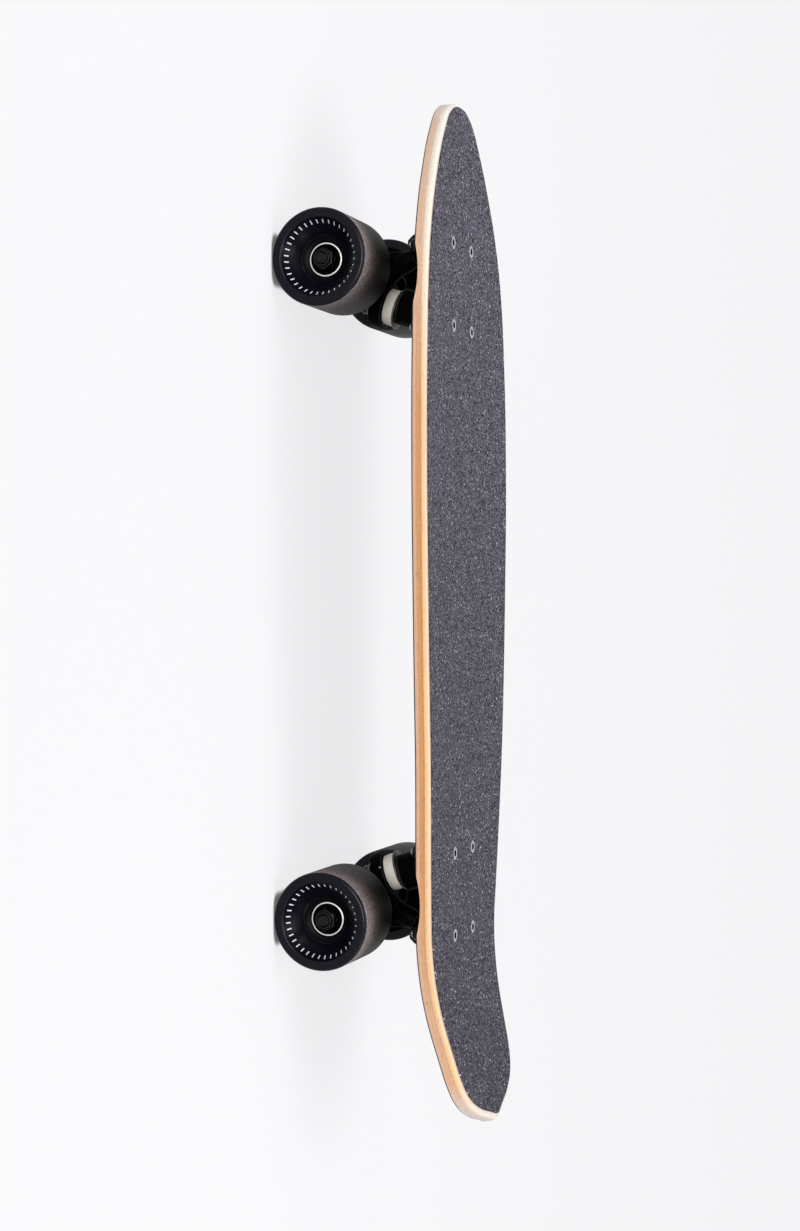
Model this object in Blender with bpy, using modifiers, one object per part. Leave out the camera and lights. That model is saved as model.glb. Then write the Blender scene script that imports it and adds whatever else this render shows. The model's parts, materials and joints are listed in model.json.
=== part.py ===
"""A cruiser skateboard: a pressed seven-ply deck with a kicked tail, two trucks and four soft wheels.

Run with: blender --background --python part.py

Sizes are in metres. +X points to the nose, +Y to the left of someone who faces the nose, and +Z up.
The origin is on the floor under the middle of the deck, and the board stands on its wheels.
"""

import math

import bmesh
import bpy
from mathutils import Matrix, Vector

# Room between two pieces that touch on the real board, and how far a cutter runs past what it cuts
GAP = 0.0003
CUTTER_EXTRA = 0.002

# Deck
DECK_LENGTH = 0.6710
DECK_WIDTH = 0.1890
DECK_MIDDLE_X = 0.00078
WOOD_THICKNESS = 0.0099
TOP_ROUND = 0.0024
BOTTOM_ROUND = 0.0014
CONCAVE_RADIUS = 1.0
CAMBER_RADIUS = 54.0
KICK_ANGLE = math.radians(13.7)
KICK_RADIUS = 0.275
KICK_LEAD = 0.0089
CONCAVE_FADE_AHEAD = 0.124
CONCAVE_FADE_BEHIND = 0.075

# Half of the deck's outline, from the tail tip to the nose tip: the distance from the tail tip as a
# share of the length, and the half width as a share of half the width.
OUTLINE = (
    (0.0, 0.0),
    (0.0049, 0.130),
    (0.0161, 0.367),
    (0.0310, 0.535),
    (0.0481, 0.618),
    (0.0750, 0.670),
    (0.1793, 0.788),
    (0.3432, 0.898),
    (0.5221, 0.976),
    (0.6562, 1.0),
    (0.7531, 0.972),
    (0.8275, 0.909),
    (0.8723, 0.821),
    (0.9244, 0.644),
    (0.9692, 0.424),
    (0.9915, 0.249),
    (1.0, 0.0),
)
OUTLINE_STEPS = 3

# Griptape
GRIP_THICKNESS = 0.0007
GRIP_INSET = 0.0038
GRIP_NOSE_REACH = 0.0019
GRIP_NOSE_LENGTH = 0.030

# Wheel wells under the deck's edges
WELL_RADIUS = 0.080
WELL_DEPTH = 0.0033
WELL_LENGTH = 0.060
WELL_TILT = math.radians(11)

# Grid that the deck is bent along
ROW_SPACING = 0.027
FLAT_LENGTH = 0.020
FRONT_COLUMNS = 4
FADE_COLUMNS = 6
KICK_COLUMNS = 5

# Trucks
WHEELBASE = 0.400
TRUCK_MIDDLE_X = 0.0155
TRUCK_HEIGHT = 0.0570
AXLE_X = 0.0110
BOLT_SPACING_X = 0.0540
BOLT_SPACING_Y = 0.0413

# Deck bolts and their locknuts
BOLT_RADIUS = 0.0024
BOLT_HEAD_RADIUS = 0.0043
BOLT_HEAD_CONE = 0.0019
BOLT_HEAD_SINK = 0.0001
BOLT_SOCKET_RADIUS = 0.0018
BOLT_SOCKET_DEPTH = 0.0016
BOLT_END = 0.0015
LOCKNUT_FLATS = 0.0095
LOCKNUT_HEX = 0.0046
LOCKNUT_COLLAR = 0.0019
LOCKNUT_COLLAR_RADIUS = 0.0041

# Baseplate
PLATE_LENGTH = 0.0810
PLATE_WIDTH = 0.0570
PLATE_THICKNESS = 0.0105
PLATE_CORNER = 0.0090
PLATE_EDGE = 0.0012
BOSS_RADIUS = 0.0124
BOSS_FLARE = 0.0010
BOSS_OFFSET = 0.0025
PIVOT_BOSS_WALL = 0.0046
PIVOT_BOSS_FLARE = 0.0004
PIVOT_BOSS_SHOULDER = 0.0045
PIVOT_BOSS_END = 0.0090
PIVOT_BOSS_NARROWING = 0.0016
PLATE_RIB_HALF_WIDTH = 0.0050
PLATE_RIB_DEPTH = 0.0130

# Kingpin, and where its boss ends, measured down the kingpin from the deck
KINGPIN_X = -0.0228
KINGPIN_TILT = math.radians(17.5)
KINGPIN_RADIUS = 0.00475
KINGPIN_HEAD_RADIUS = 0.0076
KINGPIN_HEAD_HEIGHT = 0.0050
KINGPIN_END = 0.0022
BOSS_DROP = 0.0334
KINGPIN_NUT_FLATS = 0.0143
KINGPIN_NUT_HEIGHT = 0.0065

# Bushings and cup washers
UPPER_BUSHING_RADIUS = 0.0122
UPPER_BUSHING_HEIGHT = 0.0101
LOWER_BUSHING_RADIUS = 0.0120
LOWER_BUSHING_END_RADIUS = 0.0080
LOWER_BUSHING_HEIGHT = 0.0086
CUP_WASHER_WALL = 0.0008
CUP_WASHER_THICKNESS = 0.0010
CUP_WASHER_LIP = 0.0006
LOWER_WASHER_RADIUS = 0.0094

# Hanger
RING_WALL = 0.0035
RING_EDGE = 0.0010
SEAT_DEPTH = 0.0032
SEAT_WEB = 0.0029
RING_HOLE_CLEARANCE = 0.0027
HANGER_HALF_WIDTH = 0.0536
HANGER_MIDDLE_RADIUS = 0.0102
HANGER_ARM_RADIUS = 0.0086
HANGER_END_RADIUS = 0.0074
ARM_TO_WHEEL = 0.0050
ARM_STEP = 0.0025
FIN_HALF_THICKNESS = 0.0040
FIN_EDGE = 0.0016
GUSSET_TOP_HALF = 0.0100
GUSSET_TOP_Z = -0.0360
GUSSET_TOP_X = 0.0175
GUSSET_THICKNESS = 0.0120
GUSSET_EDGE = 0.0032
NUT_ROOM = 0.0020
WASHER_ROOM = 0.0030
SWING_ROOM = 0.0030

# Outline of the hanger's middle fin, as offsets along X and Z: from the axle up the pivot's side,
# round the root of the neck, and down the kingpin's side back to the axle.
FIN_UP_FROM_AXLE = ((0.0092, -0.0040), (0.0135, 0.0070), (0.0150, 0.0160))
FIN_ROUND_NECK_ROOT = ((0.0069, -0.0020), (0.0, 0.0020), (-0.0060, 0.0005), (-0.0151, -0.0095))
FIN_DOWN_TO_AXLE = ((-0.0120, 0.0120), (-0.0092, -0.0040))

# Pivot: the ball on the hanger's neck and the cup that it turns in
PIVOT_X = 0.0260
PIVOT_COVER = 0.00148
PIVOT_TILT = math.radians(24)
BALL_RADIUS = 0.0055
BALL_ROOM = 0.0006
BALL_ARC = (0, 30, 60)
NECK_RADIUS = 0.0053
NECK_ROOT_RADIUS = 0.0072
NECK_TAPER_START = 0.0070
NECK_TAPER_END = 0.0170
NECK_LENGTH = 0.0270
CUP_WALL = 0.0029
CUP_END_WALL = 0.0025
CUP_MOUTH = 0.0065
CUP_MOUTH_FLARE = 0.0011

# Wheels, bearings and axles
WHEEL_RADIUS = 0.0315
WHEEL_WIDTH = 0.0530
WHEEL_LIP_ROUND = 0.0025
WHEEL_LIP_RADIUS = 0.0255
DISH_RADIUS = 0.0185
DISH_DEPTH = 0.0080
CORE_LIP = 0.0022
CORE_LAND = 0.0020
BEARING_RADIUS = 0.0110
BEARING_WIDTH = 0.0070
BEARING_SPACING = 0.0100
AXLE_RADIUS = 0.0040
AXLE_CHAMFER = 0.0008
AXLE_END = 0.0015
SPEED_WASHER_RADIUS = 0.0058
SPEED_WASHER_THICKNESS = 0.0008
AXLE_NUT_FLATS = 0.0127
AXLE_NUT_HEIGHT = 0.0072
AXLE_NUT_FACE = 0.0010
AXLE_NUT_FACE_RADIUS = 0.0060

# How finely round pieces are drawn
WHEEL_SIDES = 28
PIN_SIDES = 16
SMALL_SIDES = 12
SMOOTH_ANGLE = math.radians(35)

PARTS_NAME = "Cruiser_skateboard"
CUTTERS_NAME = "Cutters"

# Places that follow from the sizes above
DECK_UNDERSIDE_Z = WHEEL_RADIUS + TRUCK_HEIGHT
BOARD_THICKNESS = WOOD_THICKNESS + GAP + GRIP_THICKNESS
TAIL_X = DECK_MIDDLE_X - DECK_LENGTH / 2
REAR_BOLTS_X = TRUCK_MIDDLE_X - WHEELBASE / 2 - BOLT_SPACING_X / 2
KICK_START_X = REAR_BOLTS_X + KICK_LEAD
CAMBER_DROP = (WHEELBASE / 2) ** 2 / (2 * CAMBER_RADIUS)
TOP_Z = DECK_UNDERSIDE_Z + BOARD_THICKNESS + CAMBER_DROP

# Radii of the seats of the bushings, the pivot ball and the bearings, and of what holds them
UPPER_SEAT_RADIUS = UPPER_BUSHING_RADIUS + GAP
LOWER_SEAT_RADIUS = LOWER_BUSHING_RADIUS + GAP
RING_RADIUS = max(UPPER_SEAT_RADIUS, LOWER_SEAT_RADIUS) + RING_WALL
SOCKET_RADIUS = BALL_RADIUS + BALL_ROOM
CUP_RADIUS = SOCKET_RADIUS + CUP_WALL
PIVOT_BOSS_RADIUS = CUP_RADIUS + GAP + PIVOT_BOSS_WALL
BEARING_SEAT_RADIUS = BEARING_RADIUS + GAP

# Height of the pivot's ball, whose cup ends at PIVOT_COVER under the deck
CUP_TOP = SOCKET_RADIUS + CUP_END_WALL
PIVOT_Z = -(CUP_TOP * math.cos(PIVOT_TILT) + CUP_RADIUS * math.sin(PIVOT_TILT) + PIVOT_COVER)

# Stack on the kingpin, as distances along it from the deck, with the boss's face first
BOSS_FACE = -BOSS_DROP
UPPER_WASHER_TOP = BOSS_FACE - GAP
UPPER_BUSHING_TOP = UPPER_WASHER_TOP - CUP_WASHER_THICKNESS - GAP
UPPER_SEAT = UPPER_BUSHING_TOP - UPPER_BUSHING_HEIGHT - GAP
RING_TOP = UPPER_SEAT + SEAT_DEPTH
LOWER_SEAT = UPPER_SEAT - SEAT_WEB
RING_BOTTOM = LOWER_SEAT - SEAT_DEPTH
RING_CENTRE = UPPER_SEAT - SEAT_WEB / 2
LOWER_BUSHING_TOP = LOWER_SEAT - GAP
LOWER_WASHER_TOP = LOWER_BUSHING_TOP - LOWER_BUSHING_HEIGHT - GAP
KINGPIN_NUT_TOP = LOWER_WASHER_TOP - CUP_WASHER_THICKNESS - GAP
KINGPIN_BOTTOM = KINGPIN_NUT_TOP - KINGPIN_NUT_HEIGHT - KINGPIN_END
KINGPIN_TOP = -(2 * GAP + KINGPIN_HEAD_RADIUS * math.sin(KINGPIN_TILT)) / math.cos(KINGPIN_TILT)

# Stack on the axle, as distances from the truck's middle
INNER_BEARING_Y = HANGER_HALF_WIDTH + SPEED_WASHER_THICKNESS + 2 * GAP
WHEEL_Y = INNER_BEARING_Y + BEARING_WIDTH + BEARING_SPACING / 2
WHEEL_INNER_Y = WHEEL_Y - WHEEL_WIDTH / 2
AXLE_NUT_Y = WHEEL_Y + BEARING_SPACING / 2 + BEARING_WIDTH + GAP
AXLE_HALF_LENGTH = AXLE_NUT_Y + AXLE_NUT_FACE + AXLE_NUT_HEIGHT + AXLE_END

# Frames of a truck's pieces, seen from the middle of its four bolts on the deck's underside
KINGPIN_FRAME = Matrix.Translation((KINGPIN_X, 0, 0)) @ Matrix.Rotation(-KINGPIN_TILT, 4, "Y")
PIVOT_FRAME = Matrix.Translation((PIVOT_X, 0, PIVOT_Z)) @ Matrix.Rotation(PIVOT_TILT, 4, "Y")
AXLE_FRAME = Matrix.Translation((AXLE_X, 0, -TRUCK_HEIGHT)) @ Matrix.Rotation(-math.pi / 2, 4, "X")
SIDEWAYS = Matrix.Rotation(math.pi / 2, 4, "X")


def steering_frame():
    """The line that the hanger turns about: from its ring up to its pivot ball, along the frame's X."""
    ring = KINGPIN_FRAME @ Vector((0, 0, RING_CENTRE))
    ball = Vector((PIVOT_X, 0, PIVOT_Z))
    rise = math.atan2(ball.z - ring.z, ball.x - ring.x)
    return Matrix.Translation(ball) @ Matrix.Rotation(-rise, 4, "Y")


# Scene and materials


def clear_scene():
    for obj in list(bpy.data.objects):
        bpy.data.objects.remove(obj)
    for name in (PARTS_NAME, CUTTERS_NAME):
        bpy.context.scene.collection.children.link(bpy.data.collections.new(name))


def material(name, colour, roughness, metallic=0.0):
    made = bpy.data.materials.new(name)
    made.use_nodes = True
    shader = made.node_tree.nodes["Principled BSDF"]
    shader.inputs["Base Color"].default_value = (*colour, 1)
    shader.inputs["Roughness"].default_value = roughness
    shader.inputs["Metallic"].default_value = metallic
    made.diffuse_color = (*colour, 1)
    return made


def make_materials():
    return {
        "wood": material("maple_ply", (0.66, 0.41, 0.20), 0.45),
        "grip": material("black_grit", (0.085, 0.085, 0.095), 0.95),
        "casting": material("black_paint", (0.012, 0.012, 0.013), 0.35),
        "steel": material("bolt_steel", (0.45, 0.45, 0.46), 0.35, 1.0),
        "black_steel": material("black_steel", (0.03, 0.03, 0.03), 0.4, 1.0),
        "cream": material("cream_urethane", (0.72, 0.69, 0.62), 0.5),
        "black_urethane": material("black_urethane", (0.02, 0.02, 0.022), 0.45),
        "wheel": material("wheel_urethane", (0.045, 0.04, 0.038), 0.55),
        "cup": material("cup_plastic", (0.03, 0.03, 0.03), 0.5),
    }


# Objects


def add_object(name, mesh, collection=PARTS_NAME):
    obj = bpy.data.objects.new(name, mesh)
    bpy.data.collections[collection].objects.link(obj)
    return obj


def object_from_bmesh(name, bm, collection=PARTS_NAME):
    mesh = bpy.data.meshes.new(name)
    bm.to_mesh(mesh)
    bm.free()
    return add_object(name, mesh, collection)


def bake(obj):
    """Replaces an object's mesh by the mesh that its modifiers make, so that copies can share it."""
    graph = bpy.context.evaluated_depsgraph_get()
    mesh = bpy.data.meshes.new_from_object(obj.evaluated_get(graph))
    obj.modifiers.clear()
    obj.data = mesh
    mesh.name = obj.name
    return obj


def hide_helper(obj):
    obj.hide_render = True
    obj.display_type = "WIRE"


def finish(obj, look):
    obj.data.materials.clear()
    obj.data.materials.append(look)
    obj.data.shade_smooth()
    obj.data.set_sharp_from_angle(angle=SMOOTH_ANGLE)
    return obj


def hang_on(obj, parent, matrix=None):
    """Parents an object and puts it at a matrix given in the parent's frame."""
    obj.parent = parent
    obj.matrix_local = matrix or Matrix()
    return obj


def copy_of(obj, name, parent, matrix=None):
    return hang_on(add_object(name, obj.data), parent, matrix)


def empty(name, parent, matrix):
    made = add_object(name, None)
    made.empty_display_size = 0.02
    return hang_on(made, parent, matrix)


# Shapes


def turned(name, profile, sides, closed=False, collection=PARTS_NAME):
    """Turns (radius, height) points about Z. They run down the outer side; closed makes a ring."""
    bm = bmesh.new()
    points = [bm.verts.new((radius, 0, height)) for radius, height in profile]
    pairs = list(zip(points, points[1:]))
    if closed:
        pairs.append((points[-1], points[0]))
    for pair in pairs:
        bm.edges.new(pair)
    obj = object_from_bmesh(name, bm, collection)
    screw = obj.modifiers.new("Turn", "SCREW")
    screw.steps = screw.render_steps = sides
    screw.use_merge_vertices = True
    screw.merge_threshold = 0.00001
    return bake(obj)


def ring(name, inner, outer, bottom, top, sides):
    profile = [(outer, top), (outer, bottom), (inner, bottom), (inner, top)]
    return turned(name, profile, sides, closed=True)


def cone(name, bottom_radius, top_radius, bottom, top, sides, collection=PARTS_NAME):
    """A solid cone or cylinder about Z between two heights, with a corner on the +X side."""
    bm = bmesh.new()
    bmesh.ops.create_cone(
        bm,
        cap_ends=True,
        segments=sides,
        radius1=bottom_radius,
        radius2=top_radius,
        depth=top - bottom,
        matrix=Matrix.Translation((0, 0, (top + bottom) / 2)),
    )
    return object_from_bmesh(name, bm, collection)


def box(name, low, high, collection=PARTS_NAME):
    low, high = Vector(low), Vector(high)
    bm = bmesh.new()
    bmesh.ops.create_cube(bm, size=1, matrix=Matrix.LocRotScale((low + high) / 2, None, high - low))
    return object_from_bmesh(name, bm, collection)


def bevel(obj, width, segments=1, angle=40):
    modifier = obj.modifiers.new("Edges", "BEVEL")
    modifier.width = width
    modifier.segments = segments
    modifier.limit_method = "ANGLE"
    modifier.angle_limit = math.radians(angle)
    return bake(obj)


def combine(obj, others, operation):
    """Booleans obj with each of the others, in the places where they stand, and hides those."""
    for other in others:
        modifier = obj.modifiers.new(operation.title(), "BOOLEAN")
        modifier.operation = operation
        modifier.solver = "EXACT"
        modifier.object = other
        hide_helper(other)
    bpy.context.view_layer.update()
    return bake(obj)


def cut(obj, *cutters):
    return combine(obj, cutters, "DIFFERENCE")


def join(obj, *others):
    return combine(obj, others, "UNION")


def weld_caps(mesh):
    """Closes the mesh of a filled flat curve, whose caps come loose from its sides."""
    bm = bmesh.new()
    bm.from_mesh(mesh)
    bmesh.ops.remove_doubles(bm, verts=bm.verts, dist=0.00001)
    bmesh.ops.dissolve_limit(bm, angle_limit=math.radians(0.5), verts=bm.verts, edges=bm.edges)
    bmesh.ops.recalc_face_normals(bm, faces=bm.faces)
    return bm


def at(matrix, obj):
    obj.matrix_world = matrix
    return obj


def cutter_cone(name, matrix, *sizes):
    return at(matrix, cone(name, *sizes, collection=CUTTERS_NAME))


def cutter_box(name, matrix, low, high):
    return at(matrix, box(name, low, high, collection=CUTTERS_NAME))


def hex_corner(flats):
    return flats / 2 / math.cos(math.pi / 6)


# Deck and griptape


def deck_top(x, y):
    """Height of the standing surface, and its slope along X, above a point of the floor plan."""
    ahead = x - TRUCK_MIDDLE_X
    height = TOP_Z - ahead**2 / (2 * CAMBER_RADIUS)
    slope = -ahead / CAMBER_RADIUS
    behind = KICK_START_X - x
    if behind > 0:
        start = KICK_START_X - TRUCK_MIDDLE_X
        height = TOP_Z - start**2 / (2 * CAMBER_RADIUS)
        arc = min(behind, KICK_RADIUS * math.sin(KICK_ANGLE))
        height += KICK_RADIUS - math.sqrt(KICK_RADIUS**2 - arc**2)
        height += (behind - arc) * math.tan(KICK_ANGLE)
        slope = -arc / math.sqrt(KICK_RADIUS**2 - arc**2)
    fade = (x - KICK_START_X + CONCAVE_FADE_BEHIND) / (CONCAVE_FADE_AHEAD + CONCAVE_FADE_BEHIND)
    fade = min(max(fade, 0), 1)
    concave = fade * fade * (3 - 2 * fade) / (2 * CONCAVE_RADIUS)
    return height + concave * y * y, slope


def bend_columns():
    """The X of each line across the deck: close together where it bends, far apart where it doesn't."""
    nose = TAIL_X + DECK_LENGTH
    fade_start = KICK_START_X + CONCAVE_FADE_AHEAD
    kick_end = KICK_START_X - KICK_RADIUS * math.sin(KICK_ANGLE)
    front = [fade_start + (nose - fade_start) * i / FRONT_COLUMNS for i in range(1, FRONT_COLUMNS)]
    fade = [KICK_START_X + CONCAVE_FADE_AHEAD * (i + 1) / FADE_COLUMNS for i in range(FADE_COLUMNS)]
    kick = [KICK_START_X + (kick_end - KICK_START_X) * i / KICK_COLUMNS for i in range(KICK_COLUMNS + 1)]
    middle = [DECK_MIDDLE_X - FLAT_LENGTH / 2, DECK_MIDDLE_X + FLAT_LENGTH / 2]
    tail = [KICK_START_X - CONCAVE_FADE_BEHIND]
    return front + fade + kick + middle + tail


def bend_rows():
    count = int(DECK_WIDTH / 2 / ROW_SPACING)
    return [side * (i + 0.5) * ROW_SPACING for i in range(count) for side in (-1, 1)]


def blank(name, thickness, inset):
    """A flat sheet cut to the deck's outline, with its faces at z = 0 and z = -thickness."""
    curve = bpy.data.curves.new(name, "CURVE")
    curve.dimensions = "2D"
    curve.fill_mode = "BOTH"
    curve.extrude = thickness / 2
    curve.offset = -inset
    curve.resolution_u = OUTLINE_STEPS
    half = [(TAIL_X + along * DECK_LENGTH, share * DECK_WIDTH / 2) for along, share in OUTLINE]
    loop = half + [(x, -y) for x, y in reversed(half[1:-1])]
    spline = curve.splines.new("BEZIER")
    spline.use_cyclic_u = True
    spline.bezier_points.add(len(loop) - 1)
    for point, (x, y) in zip(spline.bezier_points, loop):
        point.co = (x, y, 0)
        point.handle_left_type = point.handle_right_type = "AUTO"
    source = add_object(name + "_outline", curve)
    bpy.context.view_layer.update()
    graph = bpy.context.evaluated_depsgraph_get()
    mesh = bpy.data.meshes.new_from_object(source.evaluated_get(graph))
    bpy.data.objects.remove(source)
    bm = weld_caps(mesh)
    bmesh.ops.translate(bm, verts=bm.verts, vec=(0, 0, -thickness / 2))
    return bm


def round_rim(bm, height, width, segments):
    """Bevels the edge loop that lies at a height."""
    rim = [e for e in bm.edges if all(abs(v.co.z - height) < 1e-6 for v in e.verts) and not e.is_boundary]
    bmesh.ops.bevel(bm, geom=rim, offset=width, segments=segments, affect="EDGES", profile=0.5)


def press(bm, depth):
    """Cuts the flat sheet into a grid and bends it to the deck's surface, that far under the grip's top."""
    cuts = [((x, 0, 0), (1, 0, 0)) for x in bend_columns()] + [((0, y, 0), (0, 1, 0)) for y in bend_rows()]
    for place, normal in cuts:
        everything = bm.verts[:] + bm.edges[:] + bm.faces[:]
        bmesh.ops.bisect_plane(bm, geom=everything, plane_co=place, plane_no=normal, dist=1e-6)
    for vert in bm.verts:
        height, slope = deck_top(vert.co.x, vert.co.y)
        up = Vector((-slope, 0, 1)).normalized()
        vert.co = Vector((vert.co.x, vert.co.y, height)) + up * (vert.co.z - depth)


def bolt_places():
    """(truck, number, x, y) of each deck bolt."""
    found = []
    for truck, middle in (("front", WHEELBASE / 2), ("rear", -WHEELBASE / 2)):
        corners = [(sx, sy) for sx in (1, -1) for sy in (1, -1)]
        for number, (sx, sy) in enumerate(corners, 1):
            x = TRUCK_MIDDLE_X + middle + sx * BOLT_SPACING_X / 2
            found.append((truck, number, x, sy * BOLT_SPACING_Y / 2))
    return found


def bolt_head_z(x, y):
    return deck_top(x, y)[0] - BOLT_HEAD_SINK


def bolt_hole_cutter(name, x, y):
    head, hole = BOLT_HEAD_RADIUS + GAP, BOLT_RADIUS + GAP
    profile = [
        (0, CUTTER_EXTRA),
        (head, CUTTER_EXTRA),
        (head, -GAP / 2),
        (hole, -GAP / 2 - (head - hole)),
        (hole, -2 * BOARD_THICKNESS),
        (0, -2 * BOARD_THICKNESS),
    ]
    cutter = turned(name, profile, SMALL_SIDES, collection=CUTTERS_NAME)
    return at(Matrix.Translation((x, y, bolt_head_z(x, y))), cutter)


def half_width(x):
    """The deck's half width at an X, read between the outline's points."""
    along = (x - TAIL_X) / DECK_LENGTH
    for (start, before), (end, after) in zip(OUTLINE, OUTLINE[1:]):
        if along <= end:
            share = before + (after - before) * (along - start) / (end - start)
            return share * DECK_WIDTH / 2
    return 0


def well_cutter(name, x, side):
    """A drum that leans outwards, so that the well is deepest at the deck's edge."""
    edge_y = half_width(x)
    edge_z = deck_top(x, edge_y)[0] - BOARD_THICKNESS
    lean = Matrix.Rotation(side * (math.pi / 2 + WELL_TILT), 4, "X")
    place = Matrix.Translation((x, side * edge_y, edge_z + WELL_DEPTH)) @ lean
    drum = cutter_cone(
        name, place, WELL_RADIUS, WELL_RADIUS, -WELL_LENGTH / 2, WELL_LENGTH / 2, 3 * WHEEL_SIDES
    )
    drum.matrix_world = place @ Matrix.Translation((0, -side * WELL_RADIUS, 0))
    return drum


def make_deck(looks):
    bm = blank("deck", WOOD_THICKNESS, 0)
    round_rim(bm, 0, TOP_ROUND, 2)
    round_rim(bm, -WOOD_THICKNESS, BOTTOM_ROUND, 1)
    press(bm, GRIP_THICKNESS + GAP)
    deck = object_from_bmesh("deck", bm)
    holes = [bolt_hole_cutter(f"{truck}_hole_{n}", x, y) for truck, n, x, y in bolt_places()]
    wells = [
        well_cutter(f"{name}_well_{side}", TRUCK_MIDDLE_X + middle, side)
        for name, middle in (("front", WHEELBASE / 2), ("rear", -WHEELBASE / 2))
        for side in (-1, 1)
    ]
    return finish(cut(deck, *holes, *wells), looks["wood"])


def make_griptape(looks):
    bm = blank("griptape", GRIP_THICKNESS, GRIP_INSET)
    tip = max(vert.co.x for vert in bm.verts)
    for vert in bm.verts:
        ahead = max(vert.co.x - tip + GRIP_NOSE_LENGTH, 0) / GRIP_NOSE_LENGTH
        vert.co.x += GRIP_NOSE_REACH * ahead**2
    press(bm, 0)
    grip = object_from_bmesh("griptape", bm)
    room = 4 * BOARD_THICKNESS
    radius = BOLT_HEAD_RADIUS + GAP
    holes = [
        cutter_cone(
            f"{truck}_grip_hole_{n}",
            Matrix.Translation((x, y, TOP_Z)),
            radius,
            radius,
            -room,
            room,
            SMALL_SIDES,
        )
        for truck, n, x, y in bolt_places()
    ]
    return finish(cut(grip, *holes), looks["grip"])


# Deck bolts and locknuts


def make_bolt(looks, name, length):
    """A countersunk screw whose head's top is at z = 0."""
    profile = [
        (0, 0),
        (BOLT_HEAD_RADIUS, 0),
        (BOLT_RADIUS, -BOLT_HEAD_CONE),
        (BOLT_RADIUS, -length),
        (0, -length),
    ]
    bolt = turned(name, profile, SMALL_SIDES)
    corner = BOLT_SOCKET_RADIUS
    socket = cutter_cone(
        name + "_socket", Matrix(), corner, corner, -BOLT_SOCKET_DEPTH, CUTTER_EXTRA, 6
    )
    return finish(cut(bolt, socket), looks["steel"])


def make_locknut(looks, name):
    """A nut that hangs under z = 0, with its round collar at the bottom."""
    corner = hex_corner(LOCKNUT_FLATS)
    nut = cone(name, corner, corner, -LOCKNUT_HEX, 0, 6)
    collar_bottom = -LOCKNUT_HEX - LOCKNUT_COLLAR
    collar = cone(
        name + "_collar",
        LOCKNUT_COLLAR_RADIUS,
        LOCKNUT_COLLAR_RADIUS,
        collar_bottom,
        -LOCKNUT_HEX / 2,
        SMALL_SIDES,
        collection=CUTTERS_NAME,
    )
    hole = BOLT_RADIUS + GAP
    bore = cutter_cone(
        name + "_bore", Matrix(), hole, hole, 2 * collar_bottom, CUTTER_EXTRA, SMALL_SIDES
    )
    return finish(cut(join(nut, collar), bore), looks["black_steel"])


def make_deck_hardware(looks, plate_bottom_z):
    nut_top = plate_bottom_z - GAP
    end = nut_top - LOCKNUT_HEX - LOCKNUT_COLLAR - BOLT_END
    first_nut = None
    for truck, number, x, y in bolt_places():
        head_z = bolt_head_z(x, y)
        bolt = make_bolt(looks, f"{truck}_deck_bolt_{number}", head_z - end)
        bolt.location = (x, y, head_z)
        name = f"{truck}_locknut_{number}"
        if first_nut is None:
            nut = first_nut = make_locknut(looks, name)
        else:
            nut = add_object(name, first_nut.data)
        nut.location = (x, y, nut_top)


# Truck pieces, each in the truck's frame unless its own frame is named


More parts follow.
